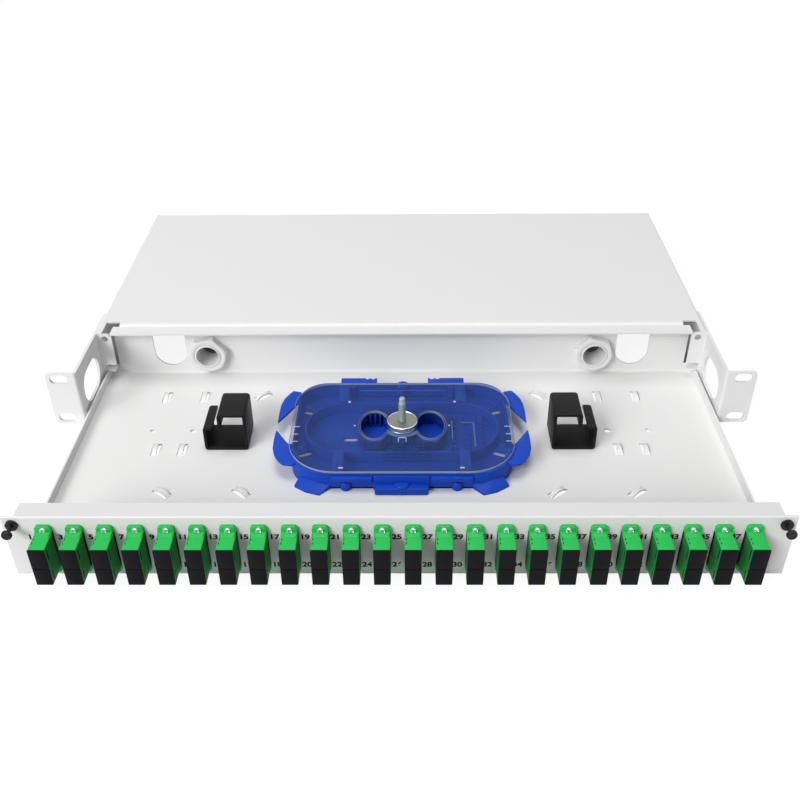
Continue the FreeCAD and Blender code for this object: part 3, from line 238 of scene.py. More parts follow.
# surfaces
class Shape:
    # points and faces of one piece, gathered before they go into one mesh
    def __init__(self):
        self.points, self.faces, self.count = [], [], 0

    def add(self, points, faces):
        self.points.append(np.asarray(points, float))
        self.faces += [[int(i) + self.count for i in face] for face in faces]
        self.count += len(points)

    def piece(self, name, body, slot, finish, replaced=(), smooth=35.0):
        mesh = bpy.data.meshes.new(name)
        mesh.from_pydata(toRack(np.vstack(self.points)).tolist(), [], self.faces)
        mesh.validate()
        mesh.update()
        item = newItem(name, mesh)
        mesh.materials.append(made[finish])
        mesh.shade_smooth()
        mesh.set_sharp_from_angle(angle=math.radians(smooth))
        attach(item, body)
        if replaced:
            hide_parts(*replaced)


# outline of a box with round corners: quarter circles round four centres, walked anticlockwise
def roundedOutline(x0, x1, y0, y1, low, high, steps):
    turn = np.linspace(0, math.pi / 2, steps)
    corners = [(x0 + low, y0 + low, low, math.pi), (x1 - low, y0 + low, low, 1.5 * math.pi),
               (x1 - high, y1 - high, high, 0.0), (x0 + high, y1 - high, high, 0.5 * math.pi)]
    return np.vstack([np.column_stack([x + radius * np.cos(a + turn), y + radius * np.sin(a + turn)])
                      for x, y, radius, a in corners])


# equal angles round a circle
def turns(count):
    return np.linspace(0, 2 * math.pi, count, endpoint=False)


# circle or ellipse: the cosine and sine of equal angles times its half sizes, which may differ by angle
def ovalOutline(x, y, count, across, along=None):
    along = across if along is None else along
    turn = turns(count)
    return np.column_stack([x + across * np.cos(turn), y + along * np.sin(turn)])


# polygon with small arcs for corners: a quadratic curve between the points a cut away from each corner
def softOutline(corners, cut, steps):
    corners = np.asarray(corners, float)

    def stepped(target):
        way = target - corners
        far = np.linalg.norm(way, axis=1, keepdims=True)
        return corners + way / far * np.minimum(cut, far * 0.45)

    start, end = stepped(np.roll(corners, 1, 0)), stepped(np.roll(corners, -1, 0))
    t = np.linspace(0, 1, steps)[None, :, None]
    arcs = (1 - t) ** 2 * start[:, None] + 2 * t * (1 - t) * corners[:, None] + t ** 2 * end[:, None]
    return arcs.reshape(-1, 2)


def softBox(x0, x1, y0, y1, cut, steps):
    return softOutline([(x0, y0), (x1, y0), (x1, y1), (x0, y1)], cut, steps)


# moves an anticlockwise outline outward along its mitres: the sum of the two edge normals at a point
def grown(outline, distance):
    arrive, leave = outline - np.roll(outline, 1, 0), np.roll(outline, -1, 0) - outline
    first, second = (np.column_stack([edge[:, 1], -edge[:, 0]]) for edge in (arrive, leave))
    first /= np.linalg.norm(first, axis=1, keepdims=True).clip(1e-9)
    second /= np.linalg.norm(second, axis=1, keepdims=True).clip(1e-9)
    mitre = first + second
    mitre /= np.linalg.norm(mitre, axis=1, keepdims=True).clip(1e-6)
    return outline + mitre * distance / np.sum(mitre * second, axis=1, keepdims=True).clip(0.5)


def area(outline):
    x, y = outline.T
    return 0.5 * np.sum(x * np.roll(y, -1) - y * np.roll(x, -1))


# turns (u, v, w) into x, y, z: "z" leaves it, "y" draws in x and z with w to the front, "x" draws in y and z
def stand(points, axis):
    u, v, w = points.T
    if axis == "y":
        return np.column_stack([u, -w, v])
    if axis == "x":
        return np.column_stack([w, u, v])
    return points


# quads between two rings of point numbers
def ringFaces(low, high):
    return np.column_stack([low, np.roll(low, -1), np.roll(high, -1), high]).tolist()


# an outline's points, all at one level
def atLevel(outline, level):
    return np.column_stack([outline, np.full(len(outline), level)])


# a closed tube: each ring of points joins the next, and the last ring joins the first
def tube(shape, rings, axis):
    grid = np.arange(len(rings) * len(rings[0])).reshape(len(rings), -1)
    faces = [face for low, high in zip(grid, np.roll(grid, -1, 0)) for face in ringFaces(low, high)]
    shape.add(stand(np.vstack(rings), axis), faces)


# a plate: outlines lifted through rows of (inset, level), with flat ends cut round the holes
def plate(shape, outer, rows, axis="z", holes=()):
    loops = [outer if area(outer) > 0 else outer[::-1]]
    loops += [hole if area(hole) < 0 else hole[::-1] for hole in holes]
    points, faces, rings, base = [], [], [], 0
    for loop in loops:
        ring = []
        for inset, level in rows:
            points.append(atLevel(grown(loop, -inset), level))
            ring.append(base + np.arange(len(loop)))
            base += len(loop)
        rings.append(ring)
        for low, high in zip(ring[:-1], ring[1:]):
            faces += ringFaces(low, high)
    points = np.vstack(points)
    for pick, way in ((0, -1), (-1, 1)):
        index = np.concatenate([ring[pick] for ring in rings])
        flatLoops = [[Vector((*points[i, :2], 0)) for i in ring[pick]] for ring in rings]
        for face in tessellate_polygon(flatLoops):
            face = index[list(face)]
            a, b, c = points[face, :2]
            winding = (b[0] - a[0]) * (c[1] - a[1]) - (b[1] - a[1]) * (c[0] - a[0])
            faces.append(face.tolist() if winding * way > 0 else face[::-1].tolist())
    shape.add(stand(points, axis), faces)


# rows of a plate with softened edges, from one level to another
def softRows(low, high, edge):
    return [(edge, low), (edge * 0.3, low + edge * 0.3), (0, low + edge), (0, high - edge),
            (edge * 0.3, high - edge * 0.3), (edge, high)]


# a closed section of (outward, level) carried along a closed outline
def wall(shape, outline, section, axis="z"):
    outline = outline if area(outline) > 0 else outline[::-1]
    tube(shape, [atLevel(grown(outline, out), level) for out, level in section], axis)


# section of an upright wall of a thickness inside its outline, with a rounded crest
def wallSection(thickness, low, high, crest):
    return [(0, low), (0, high - crest), (-crest * 0.3, high - crest * 0.3), (-crest, high),
            (crest - thickness, high), (crest * 0.3 - thickness, high - crest * 0.3),
            (-thickness, high - crest), (-thickness, low)]


# a turned surface: radius over level, swung round an axis, with a radius ripple and closed ends
def turned(shape, centre, profile, axis, count, ripple=None):
    rings = []
    for radius, level in profile:
        if ripple is not None:
            radius = radius + ripple(turns(count), level)
        rings.append(atLevel(ovalOutline(0, 0, count, radius), level))
    grid = np.arange(len(profile) * count).reshape(len(profile), count)
    faces = [face for low, high in zip(grid[:-1], grid[1:]) for face in ringFaces(low, high)]
    faces += [grid[0][::-1].tolist(), grid[-1].tolist()]
    shape.add(stand(np.vstack(rings), axis) + np.asarray(centre, float), faces)


# adapters, caps and their screws
adapter = {"count": 24, "perNode": 6, "pitch": 17.15, "rise": 20.8, "width": 9.3, "tall": 26.0,
           "flangeTall": 34.8, "flange": 2.2, "chamfer": 1.3, "panelFace": -196.5, "panelBack": -195.3,
           "front": 15.5, "rear": 13.0, "edge": 0.35, "shoulderRise": 0.9, "shoulderDepth": 3.4,
           "screwRise": 14.7, "screwRadius": 1.9, "screwTall": 1.0}
cap = {"tall": 1.3, "seam": 0.13, "seamDrop": 0.8, "edge": 0.45, "grip": (1.2, 1.4),
       "plugHalf": (3.3, 5.0), "plugDepth": 8.0, "plugLead": 0.8}
adapterPlaces = adapter["pitch"] * (np.arange(adapter["count"]) - (adapter["count"] - 1) / 2)


# an adapter: a flange with cut corners, the housing through it and a shoulder that slopes to the housing
def addAdapter(shape, x):
    a = adapter
    half, tall, rise = a["width"] / 2, a["tall"] / 2, a["rise"]
    reach, cut = a["flangeTall"] / 2, a["chamfer"]
    face = -a["panelFace"]
    flangeFront = face + a["flange"]
    corners = [(-half, cut - reach), (cut - half, -reach), (half - cut, -reach), (half, cut - reach),
               (half, reach - cut), (half - cut, reach), (cut - half, reach), (-half, reach - cut)]
    plate(shape, softOutline(corners, 0.5, 4) + [x, rise],
          [(0, face), (0, flangeFront - 0.3), (0.1, flangeFront - 0.1), (0.3, flangeFront)], "y")
    housing = softBox(x - half, x + half, rise - tall, rise + tall, a["edge"], 4)
    plate(shape, housing, softRows(-a["panelBack"] - a["rear"], face + a["front"] - 0.02, 0.3), "y")
    shoulder = softBox(x - half, x + half, rise - tall - 0.01, rise + tall + a["shoulderRise"], 0.4, 4)
    plate(shape, shoulder, [(0, flangeFront - 0.1), (0, flangeFront + 0.6),
                            (a["shoulderRise"], flangeFront + a["shoulderDepth"])], "y")


# a low panel on a flank of an adapter, from depth to depth in front of the metal panel, from height to height
def addFlank(shape, x, side, depths, heights, proud):
    level = x + side * (adapter["width"] / 2 - 0.02)
    near, far = (adapter["panelFace"] - depth for depth in depths)
    corners = np.array([(far, heights[0]), (near, heights[0]), (near, heights[1]), (far, heights[1])])
    rows = [(0.0, level - 0.05), (proud, level + proud)]
    if side < 0:
        rows = [(proud, level - proud), (0.0, level + 0.05)]
    plate(shape, corners + [0, adapter["rise"]], rows, "x")


# the upper or lower dust cap of an adapter: a head, on the front a raised grip, and a plug into the adapter
def addCap(shape, x, way, end):
    a, c = adapter, cap
    half, split, edge = a["width"] / 2, a["rise"] - c["seamDrop"], c["edge"]
    low = split + c["seam"] if way > 0 else a["rise"] - a["tall"] / 2
    high = a["rise"] + a["tall"] / 2 if way > 0 else split - c["seam"]
    head = softBox(x - half, x + half, low, high, edge, 4)
    middle, (plugWide, plugTall) = (low + high) / 2, c["plugHalf"]
    plug = softBox(x - plugWide, x + plugWide, middle - plugTall, middle + plugTall, 0.5, 4)
    if end == "front":
        level = -a["panelFace"] + a["front"]
        top = level + c["tall"]
        gripWide, gripTall = c["grip"]
        grip = softBox(x - half + gripWide, x + half - gripWide, low + gripTall, high - gripTall, 0.5, 4)
        plate(shape, head, [(0.15, level), (0, level + 0.15), (0, top - 0.45), (0.15, top - 0.15),
                            (0.4, top - 0.02)], "y")
        plate(shape, grip, [(0, top - 0.1), (0.15, top)], "y")
        plate(shape, plug, [(0.5, level - c["plugDepth"]), (0, level - c["plugDepth"] + c["plugLead"]),
                            (0, level)], "y")
    else:
        level = -a["panelBack"] - a["rear"]
        bottom = level - c["tall"]
        plate(shape, head, [(a["edge"], bottom), (0, bottom + a["edge"]), (0, level)], "y")
        plate(shape, plug, [(0, level), (0, level + c["plugDepth"] - c["plugLead"]),
                            (0.5, level + c["plugDepth"])], "y")


# a pan head on a polar grid: a dome whose height drops where either arm of the cross recess runs
crossHead = {"rings": 8, "count": 32, "flat": 0.75, "armHalf": 0.16, "armReach": 0.62, "recess": 0.35}


def addCrossHead(shape, centre, radius, height, axis):
    h = crossHead
    rings, count = h["rings"], h["count"]
    share = np.linspace(1 / rings, 1, rings)[:, None]
    turn = turns(count)[None, :]
    u, v = share * radius * np.cos(turn), share * radius * np.sin(turn)
    dome = height * np.sqrt(np.clip(1 - h["flat"] * share ** 2, 0, 1)) + 0 * turn
    dome = np.where(share > 0.99, 0.0, dome)
    arm = ((np.minimum(abs(u), abs(v)) < radius * h["armHalf"])
           & (np.maximum(abs(u), abs(v)) < radius * h["armReach"]))
    dome = np.where(arm, height * h["recess"], dome)
    pole = [0.0, 0.0, height * h["recess"]]
    points = np.vstack([np.column_stack([u.ravel(), v.ravel(), dome.ravel()]), pole])
    grid = np.arange(rings * count).reshape(rings, count)
    faces = [face for inner, outer in zip(grid[:-1], grid[1:]) for face in ringFaces(outer, inner)]
    faces += [[rings * count, int(a), int(b)] for a, b in zip(grid[0], np.roll(grid[0], -1))]
    faces.append(grid[-1][::-1].tolist())
    points = stand(points, "y") if axis == "y" else stand(points, "x") * [axis, 1, 1]
    if axis == -1:
        faces = [face[::-1] for face in faces]
    shape.add(points + np.asarray(centre, float), faces)


for start in range(0, adapter["count"], adapter["perNode"]):
    shape = Shape()
    for x in adapterPlaces[start:start + adapter["perNode"]]:
        addAdapter(shape, x)
    name = f"adapters_{start + 1:02d}_{start + adapter['perNode']:02d}"
    shape.piece(f"adapterHousings{start + 1:02d}", "drawer", "adapter_plastic", "adapterGreen", [name])
rearCaps, screws = Shape(), Shape()
screwFace = adapter["panelFace"] - adapter["flange"]
for number, x in enumerate(adapterPlaces, 1):
    shape = Shape()
    for way in (1, -1):
        addCap(shape, x, way, "front")
        addCap(rearCaps, x, way, "rear")
        spot = (x, screwFace, adapter["rise"] - way * adapter["screwRise"])
        addCrossHead(screws, spot, adapter["screwRadius"], adapter["screwTall"], "y")
    shape.piece(f"frontCaps{number:02d}", f"cap_pair_{number:02d}", "cap_plastic", "capBlack",
                [f"dust_caps_{number:02d}"])
rearCaps.piece("rearCapSet", "rear_cap_set", "cap_plastic", "capBlack", ["rear_caps"])
screws.piece("adapterScrews", "drawer", "screw_steel", "screwSteel")

# flank panels in a darker, mottled green, painted shade between neighbouring adapters, with two slits a side
# and moulding nicks along the top
flank = {"depths": (2.6, 15.3), "heights": (-12.6, 12.3), "proud": 0.05, "slitDepths": (12.6, 13.9),
         "slitHeights": ((-11.4, -4.8), (3.6, 10.8)), "slitProud": 0.07, "nickDepths": (7.4, 10.6),
         "nickHalf": (0.3, 0.8), "nickPlace": -3.7, "nickProud": 0.03}
panels, slits = Shape(), Shape()
for x in adapterPlaces:
    for side in (-1, 1):
        addFlank(panels, x, side, flank["depths"], flank["heights"], flank["proud"])
        for heights in flank["slitHeights"]:
            addFlank(slits, x, side, flank["slitDepths"], heights, flank["slitProud"])
    for depth in flank["nickDepths"]:
        spot = np.array([x + flank["nickPlace"], adapter["panelFace"] - depth])
        nick = spot + np.array([(-1, -1), (1, -1), (1, 1), (-1, 1)]) * flank["nickHalf"]
        level = adapter["rise"] + adapter["tall"] / 2
        plate(slits, nick, [(0, level - 0.1), (0.05, level + flank["nickProud"])])
panels.piece("adapterFlanks", "drawer", "adapter_plastic", "adapterFlankShade")
# the slits and nicks are black, painted shade in these openings
slits.piece("adapterSlits", "drawer", "cap_plastic", "capBlack")
print("adapters, caps and screws placed")

# port numbers, odd above and even below, to the left of each adapter
digits = {"size": 5.0, "stretch": 1.12, "rises": (28.6, 7.1), "proud": 0.04, "bold": 0.21, "left": 0.5}


# text made a flat mesh, then turned to stand on the panel's face
def addNumber(shape, text, x, z):
    curve = bpy.data.curves.new("portDigits", "FONT")
    curve.body, curve.size, curve.align_x, curve.align_y = text, digits["size"], "CENTER", "CENTER"
    curve.offset, curve.extrude = digits["bold"], digits["proud"] / 2
    item = newItem("portDigits", curve)
    mesh = bpy.data.meshes.new_from_object(item)
    flat = np.zeros(len(mesh.vertices) * 3)
    mesh.vertices.foreach_get("co", flat)
    u, v, w = flat.reshape(-1, 3).T
    front = adapter["panelFace"] - digits["proud"] / 2
    shape.add(np.column_stack([u * digits["stretch"] + x, front - w, v + z]),
              [list(face.vertices) for face in mesh.polygons])
    bpy.data.objects.remove(item)
    bpy.data.meshes.remove(mesh)


shape = Shape()
for place, x in enumerate(adapterPlaces):
    for row, rise in enumerate(digits["rises"]):
        addNumber(shape, str(2 * place + row + 1), x - adapter["pitch"] / 2 - digits["left"], rise)
shape.piece("portNumbers", "drawer", "latch_plastic", "numeralInk")
print("port numbers placed")

# latch plungers: a stem, and a domed head with a fine ripple round its edge
latch = {"x": 214.4, "z": 38.0, "stemBack": 193.2, "headBack": 203.9, "head": 2.5, "ridges": 20,
         "ridge": 0.07}


def headRipple(turn, level):
    band = (level > latch["headBack"] + 0.4) & (level < latch["headBack"] + 1.9)
    return np.where(band, latch["ridge"] * (np.cos(latch["ridges"] * turn) - 1), 0.0)


for side, word in ((-1, "left"), (1, "right")):
    shape = Shape()
    back, front = latch["headBack"], latch["headBack"] + latch["head"]
    profile = [(1.15, latch["stemBack"]), (1.2, latch["stemBack"] + 0.6), (1.2, back), (2.6, back),
               (2.95, back + 0.3), (2.98, front - 0.9), (2.6, front - 0.3), (1.9, front - 0.03),
               (0.9, front - 0.25), (0.4, front - 0.4)]
    turned(shape, (side * latch["x"], 0, latch["z"]), profile, "y", 40, headRipple)
    shape.piece("plungerHead" + word.capitalize(), "plunger_" + word, "latch_plastic", "latchBlack",
                ["latch_plunger_" + word])

# cable clips: a strip folded round a bundle, its corners bent to a radius
clip = {"inner": 101.4, "outer": 130.6, "front": -84.9, "length": 26.0, "wall": 2.0, "floor": 2.6,
        "height": 28.8, "topReach": 18.9, "drop": 10.4, "outerHeight": 18.5, "outerLip": 6.3, "bend": 1.5,
        "edge": 0.3}


# open centre line with round bends, offset both ways and closed at the ends
def stripOutline(corners, thickness, bend, steps=6):
    t = np.linspace(0, 1, steps)[:, None]
    line = [corners[:1]]
    for before, corner, after in zip(corners[:-2], corners[1:-1], corners[2:]):
        start = corner + (before - corner) / np.linalg.norm(before - corner) * bend
        end = corner + (after - corner) / np.linalg.norm(after - corner) * bend
        line.append((1 - t) ** 2 * start + 2 * t * (1 - t) * corner + t ** 2 * end)
    line = np.vstack(line + [corners[-1:]])
    way = np.gradient(line, axis=0)
    way /= np.linalg.norm(way, axis=1, keepdims=True)
    across = np.column_stack([-way[:, 1], way[:, 0]]) * thickness / 2
    return np.vstack([line + across, (line - across)[::-1]])


for side, word in ((-1, "left"), (1, "right")):
    c = clip
    half = c["wall"] / 2
    low, top = c["floor"] + half, c["floor"] + c["height"] - half
    outerTop = c["floor"] + c["outerHeight"] - half
    lip = c["inner"] + c["topReach"] - half
    path = [(lip, c["floor"] + c["height"] - c["drop"]), (lip, top), (c["inner"] + half, top),
            (c["inner"] + half, low), (c["outer"] - half, low), (c["outer"] - half, outerTop),
            (c["outer"] - c["outerLip"], outerTop)]
    shape = Shape()
    plate(shape, stripOutline(np.array(path) * [side, 1], c["wall"], c["bend"]),
          softRows(-c["front"] - c["length"], -c["front"], c["edge"]), "y")
    shape.piece("fibreClip" + word.capitalize(), "drawer", "clip_plastic", "clipBlack",
                ["cable_clip_" + word], 50.0)
print("latches and clips placed")

# cable glands
gland = {"x": 142.5, "z": 20.0, "wallFront": 10.8, "wallBack": 12.0, "nutTall": 6.6, "nutPoints": 96,
         "flats": 26.0, "turn": 17.0, "collar": 6.9, "collarRadius": 9.95, "bore": 8.2, "rearFlats": 24.0,
         "rearBore": 9.0, "rearNut": 5.0, "neck": 12.0, "neckRadius": 8.9, "domeStart": 17.4,
         "domeEnd": 40.4, "domeRadius": 11.0, "domeHex": 9.0, "ribs": 24, "rib": 0.4}


# hexagon between flats with softened corners, and the round hole through it
def rearHexagon(x, z):
    g = gland
    angle = np.radians(60 * np.arange(6) + 90)
    radius = g["rearFlats"] / math.sqrt(3)
    outline = softOutline(np.column_stack([x + radius * np.cos(angle), z + radius * np.sin(angle)]), 1.0, 4)
    return outline, [ovalOutline(x, z, 56, g["rearBore"])]


# locknut: at each level the radius is the smaller of the hexagon's and of a cone that rounds its corners
def addLocknut(shape, x, z, turnDegrees):
    g = gland
    back, front = -g["wallFront"], -g["wallFront"] + g["nutTall"]
    count = g["nutPoints"]
    folded = np.mod(turns(count) - math.radians(turnDegrees), math.pi / 3) - math.pi / 6
    hexRadius = g["flats"] / 2 / np.cos(folded)
    inner = g["collarRadius"] + 0.05
    cones = [(g["flats"], back), (g["flats"], front - 2.2), (14.6, front - 1.7), (14.1, front - 1.1),
             (13.5, front - 0.5), (12.8, front - 0.1), (12.2, front)]
    rounds = [(inner + 0.5, front), (inner + 0.1, front - 0.2), (inner, front - 0.6), (inner, back)]
    rings = [atLevel(ovalOutline(x, z, count, np.minimum(hexRadius, cone)), level) for cone, level in cones]
    rings += [atLevel(ovalOutline(x, z, count, radius), level) for radius, level in rounds]
    tube(shape, rings, "y")


# threaded body: a tube with a rounded collar, its hexagon behind the wall and a neck for the dome nut
def addThread(shape, x, z):
    g = gland
    inner, outer = g["bore"], g["collarRadius"]
    top, back = -g["wallFront"] + g["collar"], -g["wallBack"] - g["rearNut"]
    section = [(outer, back), (outer, top - 0.9), (outer - 0.6, top - 0.9), (outer - 0.75, top - 0.2),
               (outer - 1.0, top), (inner + 0.25, top), (inner, top - 0.3), (inner, back - g["neck"]),
               (g["neckRadius"], back - g["neck"]), (g["neckRadius"], back)]
    section = [(radius - outer, level) for radius, level in section]
    wall(shape, ovalOutline(x, z, 64, outer), section, "y")
    hexagon, hole = rearHexagon(x, z)
    plate(shape, hexagon, [(0.5, back), (0, back + 0.5), (0, -g["wallBack"])], "y", hole)


# dome nut: a hexagon, a dome that closes in to its mouth, and small ribs round it
def addDome(shape, x, z):
    g = gland
    start, end, radius = -g["domeStart"], -g["domeEnd"], g["domeRadius"]
    hexagon, hole = rearHexagon(x, z)
    hexBack = start - g["domeHex"]
    plate(shape, hexagon, [(0.5, hexBack), (0, hexBack + 0.6), (0, start - 0.5), (0.5, start)], "y", hole)
    section = [(0, start), (-2.0, start), (-2.0, end + 3.7), (-4.5, end + 2.2), (-4.5, end + 0.4),
               (-4.1, end), (-2.6, end), (-2.0, end + 0.5), (-1.0, end + 4.0), (0, end + 7.5), (0, end + 8.5)]
    wall(shape, ovalOutline(x, z, 64, radius), section, "y")
    profile = [(0.1, end + 9.0), (g["rib"], end + 9.4), (g["rib"], end + 13.4), (0.1, end + 13.8)]
    for angle in 2 * math.pi * np.arange(g["ribs"]) / g["ribs"]:
        spot = (x + (radius - 0.05) * math.cos(angle), 0, z + (radius - 0.05) * math.sin(angle))
        turned(shape, spot, profile, "y", 8)


for side, word in ((-1, "left"), (1, "right")):
    x, z = side * gland["x"], gland["z"]
    title = word.capitalize()
    nut, thread, dome = Shape(), Shape(), Shape()
    addLocknut(nut, x, z, 90 + side * gland["turn"])
    nut.piece("locknut" + title, "drawer", "gland_plastic", "glandGrey", ["gland_locknut_" + word], 30.0)
    addThread(thread, x, z)
    thread.piece("glandThread" + title, "drawer", "gland_plastic", "glandGrey", ["gland_body_" + word], 30.0)
    addDome(dome, x, z)
    dome.piece("domeNut" + title, "dome_" + word, "gland_plastic", "glandGrey", ["gland_dome_" + word], 30.0)
print("glands placed")

# splice cassette: places are millimetres from its middle, heights from the casing's underside
cassette = {"x": 1.5, "y": -79.6, "floor": 2.6, "deck": 4.2, "half": 72.0, "front": -45.2, "rear": 56.0,
            "frontCorner": 24.0, "rearCorner": 20.0, "rim": 15.4, "wall": 1.6, "leafLow": 13.4,
            "leafTop": 15.0, "middle": 0.3, "pillarY": 2.6, "wellPitch": 18.7, "wellTop": 14.6,
            "ribTop": 13.4, "routingTop": 13.0}


def local(outline):
    return np.asarray(outline, float) + [cassette["x"], cassette["y"]]


# outlines are drawn on the right and turned over for the left
def mirrored(corners, side):
    corners = np.asarray(corners, float) * [side, 1]
    return corners if side > 0 else corners[::-1]


# a soft-edged plate of the cassette from level to level, over any corners or over a box
def softPlate(shape, corners, cut, steps, low, high, edge):
    plate(shape, local(softOutline(corners, cut, steps)), softRows(low, high, edge))


def softBlock(shape, box, cut, steps, low, high, edge):
    plate(shape, local(softBox(*box, cut, steps)), softRows(low, high, edge))


# a slot with round ends, turned by an angle
def turnedSlot(x, y, degrees, length=9.6, width=4.0):
    end = width / 2 - 0.01
    outline = roundedOutline(-length / 2, length / 2, -width / 2, width / 2, end, end, 8)
    cos, sin = math.cos(math.radians(degrees)), math.sin(math.radians(degrees))
    return local(outline @ np.array([[cos, sin], [-sin, cos]]) + [x, y])


# an upright turned surface at a place of the cassette
def turnedLocal(shape, x, y, profile, count):
    turned(shape, (x + cassette["x"], y + cassette["y"], 0), profile, "z", count)


# an upright round boss with a small cone under it and a chamfer at its top
def addBoss(shape, x, y, radius, low, high, cone=0.2, chamfer=0.5, count=28):
    turnedLocal(shape, x, y, [(0.2, low), (radius, low + cone), (radius, high - chamfer),
                              (radius - chamfer, high), (0.2, high)], count)


# deck with its slots, the outer wall on it and the oval routing wall inside
def addRim(shape):
    c = cassette
    outline = local(roundedOutline(-c["half"], c["half"], c["front"], c["rear"],
                                   c["frontCorner"], c["rearCorner"], 16))
    holes = [turnedSlot(-34.8, 4.4, 0), turnedSlot(-64.6, -11.6, 24), turnedSlot(64.6, -11.6, -24),
             turnedSlot(-64.6, 35.0, -24), turnedSlot(64.6, 35.0, 24)]
    plate(shape, outline, softRows(c["floor"], c["deck"], 0.4), holes=holes)
    wall(shape, outline, wallSection(c["wall"], c["floor"] + 0.3, c["rim"], 0.35))
    routing = local(roundedOutline(-65.5, 65.5, -21.0, 36.0, 28.0, 28.0, 14))
    wall(shape, routing, wallSection(1.4, c["deck"] - 0.2, c["routingTop"], 0.45))


# octagon walls under the finger holes, and stiffening ribs behind the left one, in a darker blue that paints
# the shade under the cover
def addWells(shape):
    c = cassette
    section = wallSection(1.1, c["deck"] - 0.2, c["wellTop"], 0.35)
    for side in (-1, 1):
        x = c["middle"] + side * c["wellPitch"]
        octagon = [(x - 11.0, 1.0), (x - 5.0, -12.5), (x + 5.0, -12.5), (x + 11.0, 1.0), (x + 11.0, 14.0),
                   (x + 5.0, 23.0), (x - 5.0, 23.0), (x - 11.0, 14.0)]
        wall(shape, local(softOutline(octagon, 1.6, 4)), section)
    for x in np.linspace(-25.0, -11.8, 5):
        softBlock(shape, (x - 0.6, x + 0.6, 18.0, 26.4), 0.3, 3, c["deck"] - 0.2, c["ribTop"], 0.2)


# retaining fingers and spokes cross the channel between the outer wall and the routing wall
def addFingers(shape):
    for x0, x1 in ((-44.6, -37.4), (37.4, 44.6)):
        for y0, y1 in ((-44.4, -19.8), (34.8, 55.2)):
            softBlock(shape, (x0, x1, y0, y1), 1.2, 4, 13.0, 14.4, 0.3)
    for side in (-1, 1):
        for x0, y0, x1, y1 in ((63.5, -14.0, 68.5, -20.0), (61.0, 26.0, 66.5, 31.5)):
            spoke = mirrored([(x0, y0), (x1, y1), (x1 + 1.0, y1 + 3.0), (x0 + 1.0, y0 + 3.0)], side)
            softPlate(shape, spoke, 0.6, 3, 11.6, 12.8, 0.25)


# leaves, hinge tabs, front plates and bosses stand out from the rim
def addTabs(shape, side):
    c = cassette
    leafRear = [(71.0, 45.2), (77.2, 46.8), (80.0, 42.0), (82.5, 36.6), (83.9, 30.0), (84.3, 22.0),
                (84.1, 9.0), (80.0, 16.5), (75.6, 25.0), (72.4, 31.0)]
    leafFront = [(84.0, 0.9), (84.5, -5.0), (84.6, -11.0), (84.3, -19.0), (82.6, -26.0), (79.6, -31.5),
                 (76.3, -35.2), (69.8, -36.4), (65.0, -31.0), (71.4, -14.5), (74.6, -14.2), (78.0, -8.8)]
    hingeTab = [(18.3, 55.0), (44.0, 55.0), (44.0, 63.3), (26.6, 63.3), (25.9, 62.0), (24.4, 62.0),
                (23.7, 63.3), (22.6, 63.3), (21.9, 61.9), (20.4, 61.9), (19.8, 63.3), (18.3, 63.3)]
    frontPlate = [(18.3, -47.8), (45.0, -47.8), (45.0, -44.2), (18.3, -44.2)]
    for leaf in (leafRear, leafFront):
        softPlate(shape, mirrored(leaf, side), 1.0, 3, c["leafLow"], c["leafTop"], 0.35)
    softPlate(shape, mirrored(hingeTab, side), 0.5, 3, 13.0, 14.6, 0.3)
    softPlate(shape, mirrored(frontPlate, side), 1.0, 3, 10.0, 13.4, 0.4)
    for y, high in ((-44.6, 8.6), (55.4, 13.9)):
        addBoss(shape, side * 35.4, y, 3.4, c["floor"] + 0.1, high, 0.1)


# front middle: a lower step with a round tongue and an upper plate; a rear boss, and the pillar under the nut
def addMiddle(shape):
    c = cassette
    softBlock(shape, (-17.0, 17.0, -51.7, -44.8), 1.6, 5, c["floor"], 7.6, 0.4)
    softBlock(shape, (-18.0, 18.0, -46.6, -44.4), 0.8, 4, c["floor"], 13.6, 0.4)
    addBoss(shape, c["middle"], -47.4, 4.6, 3.0, 9.0, chamfer=0.6, count=32)
    addBoss(shape, c["middle"], 55.4, 4.4, 4.0, 14.4)
    turnedLocal(shape, c["middle"], c["pillarY"], [(6.9, 4.0), (7.0, 4.2), (7.0, 15.0), (6.6, 15.35)], 40)


# corner foot: a folded tab whose inner edge climbs the wall; points are (x, y, top) round a ridge point
def addFoot(shape, side):
    corners = [(63.0, -34.0, 9.5), (68.4, -43.6, 4.2), (60.5, -49.2, 3.6), (52.0, -52.0, 3.4),
               (45.0, -45.0, 6.5), (47.0, -40.0, 8.5)]
    top = np.array(corners + [(57.0, -43.5, 8.4)]) * [side, 1, 1]
    bottom = np.column_stack([top[:, :2], np.full(len(top), cassette["floor"])])
    count = len(corners)
    faces = []
    for i in range(count):
        after = (i + 1) % count
        faces += [[i, after, count], [after + count + 1, i + count + 1, 2 * count + 1],
                  [i, i + count + 1, after + count + 1, after]]
    if side > 0:
        faces = [face[::-1] for face in faces]
    shape.add(np.vstack([top, bottom]) + [cassette["x"], cassette["y"], 0], faces)


base, wells = Shape(), Shape()
addRim(base)
addWells(wells)
addFingers(base)
for side in (-1, 1):
    addTabs(base, side)
    addFoot(base, side)
addMiddle(base)
wells.piece("fingerWells", "drawer", "cassette_plastic", "cassetteShadedBlue", smooth=32.0)
base.piece("cassetteBase", "drawer", "cassette_plastic", "cassetteBlue",
           ["cassette_base", "cassette_routing"], 32.0)
print("cassette base placed")

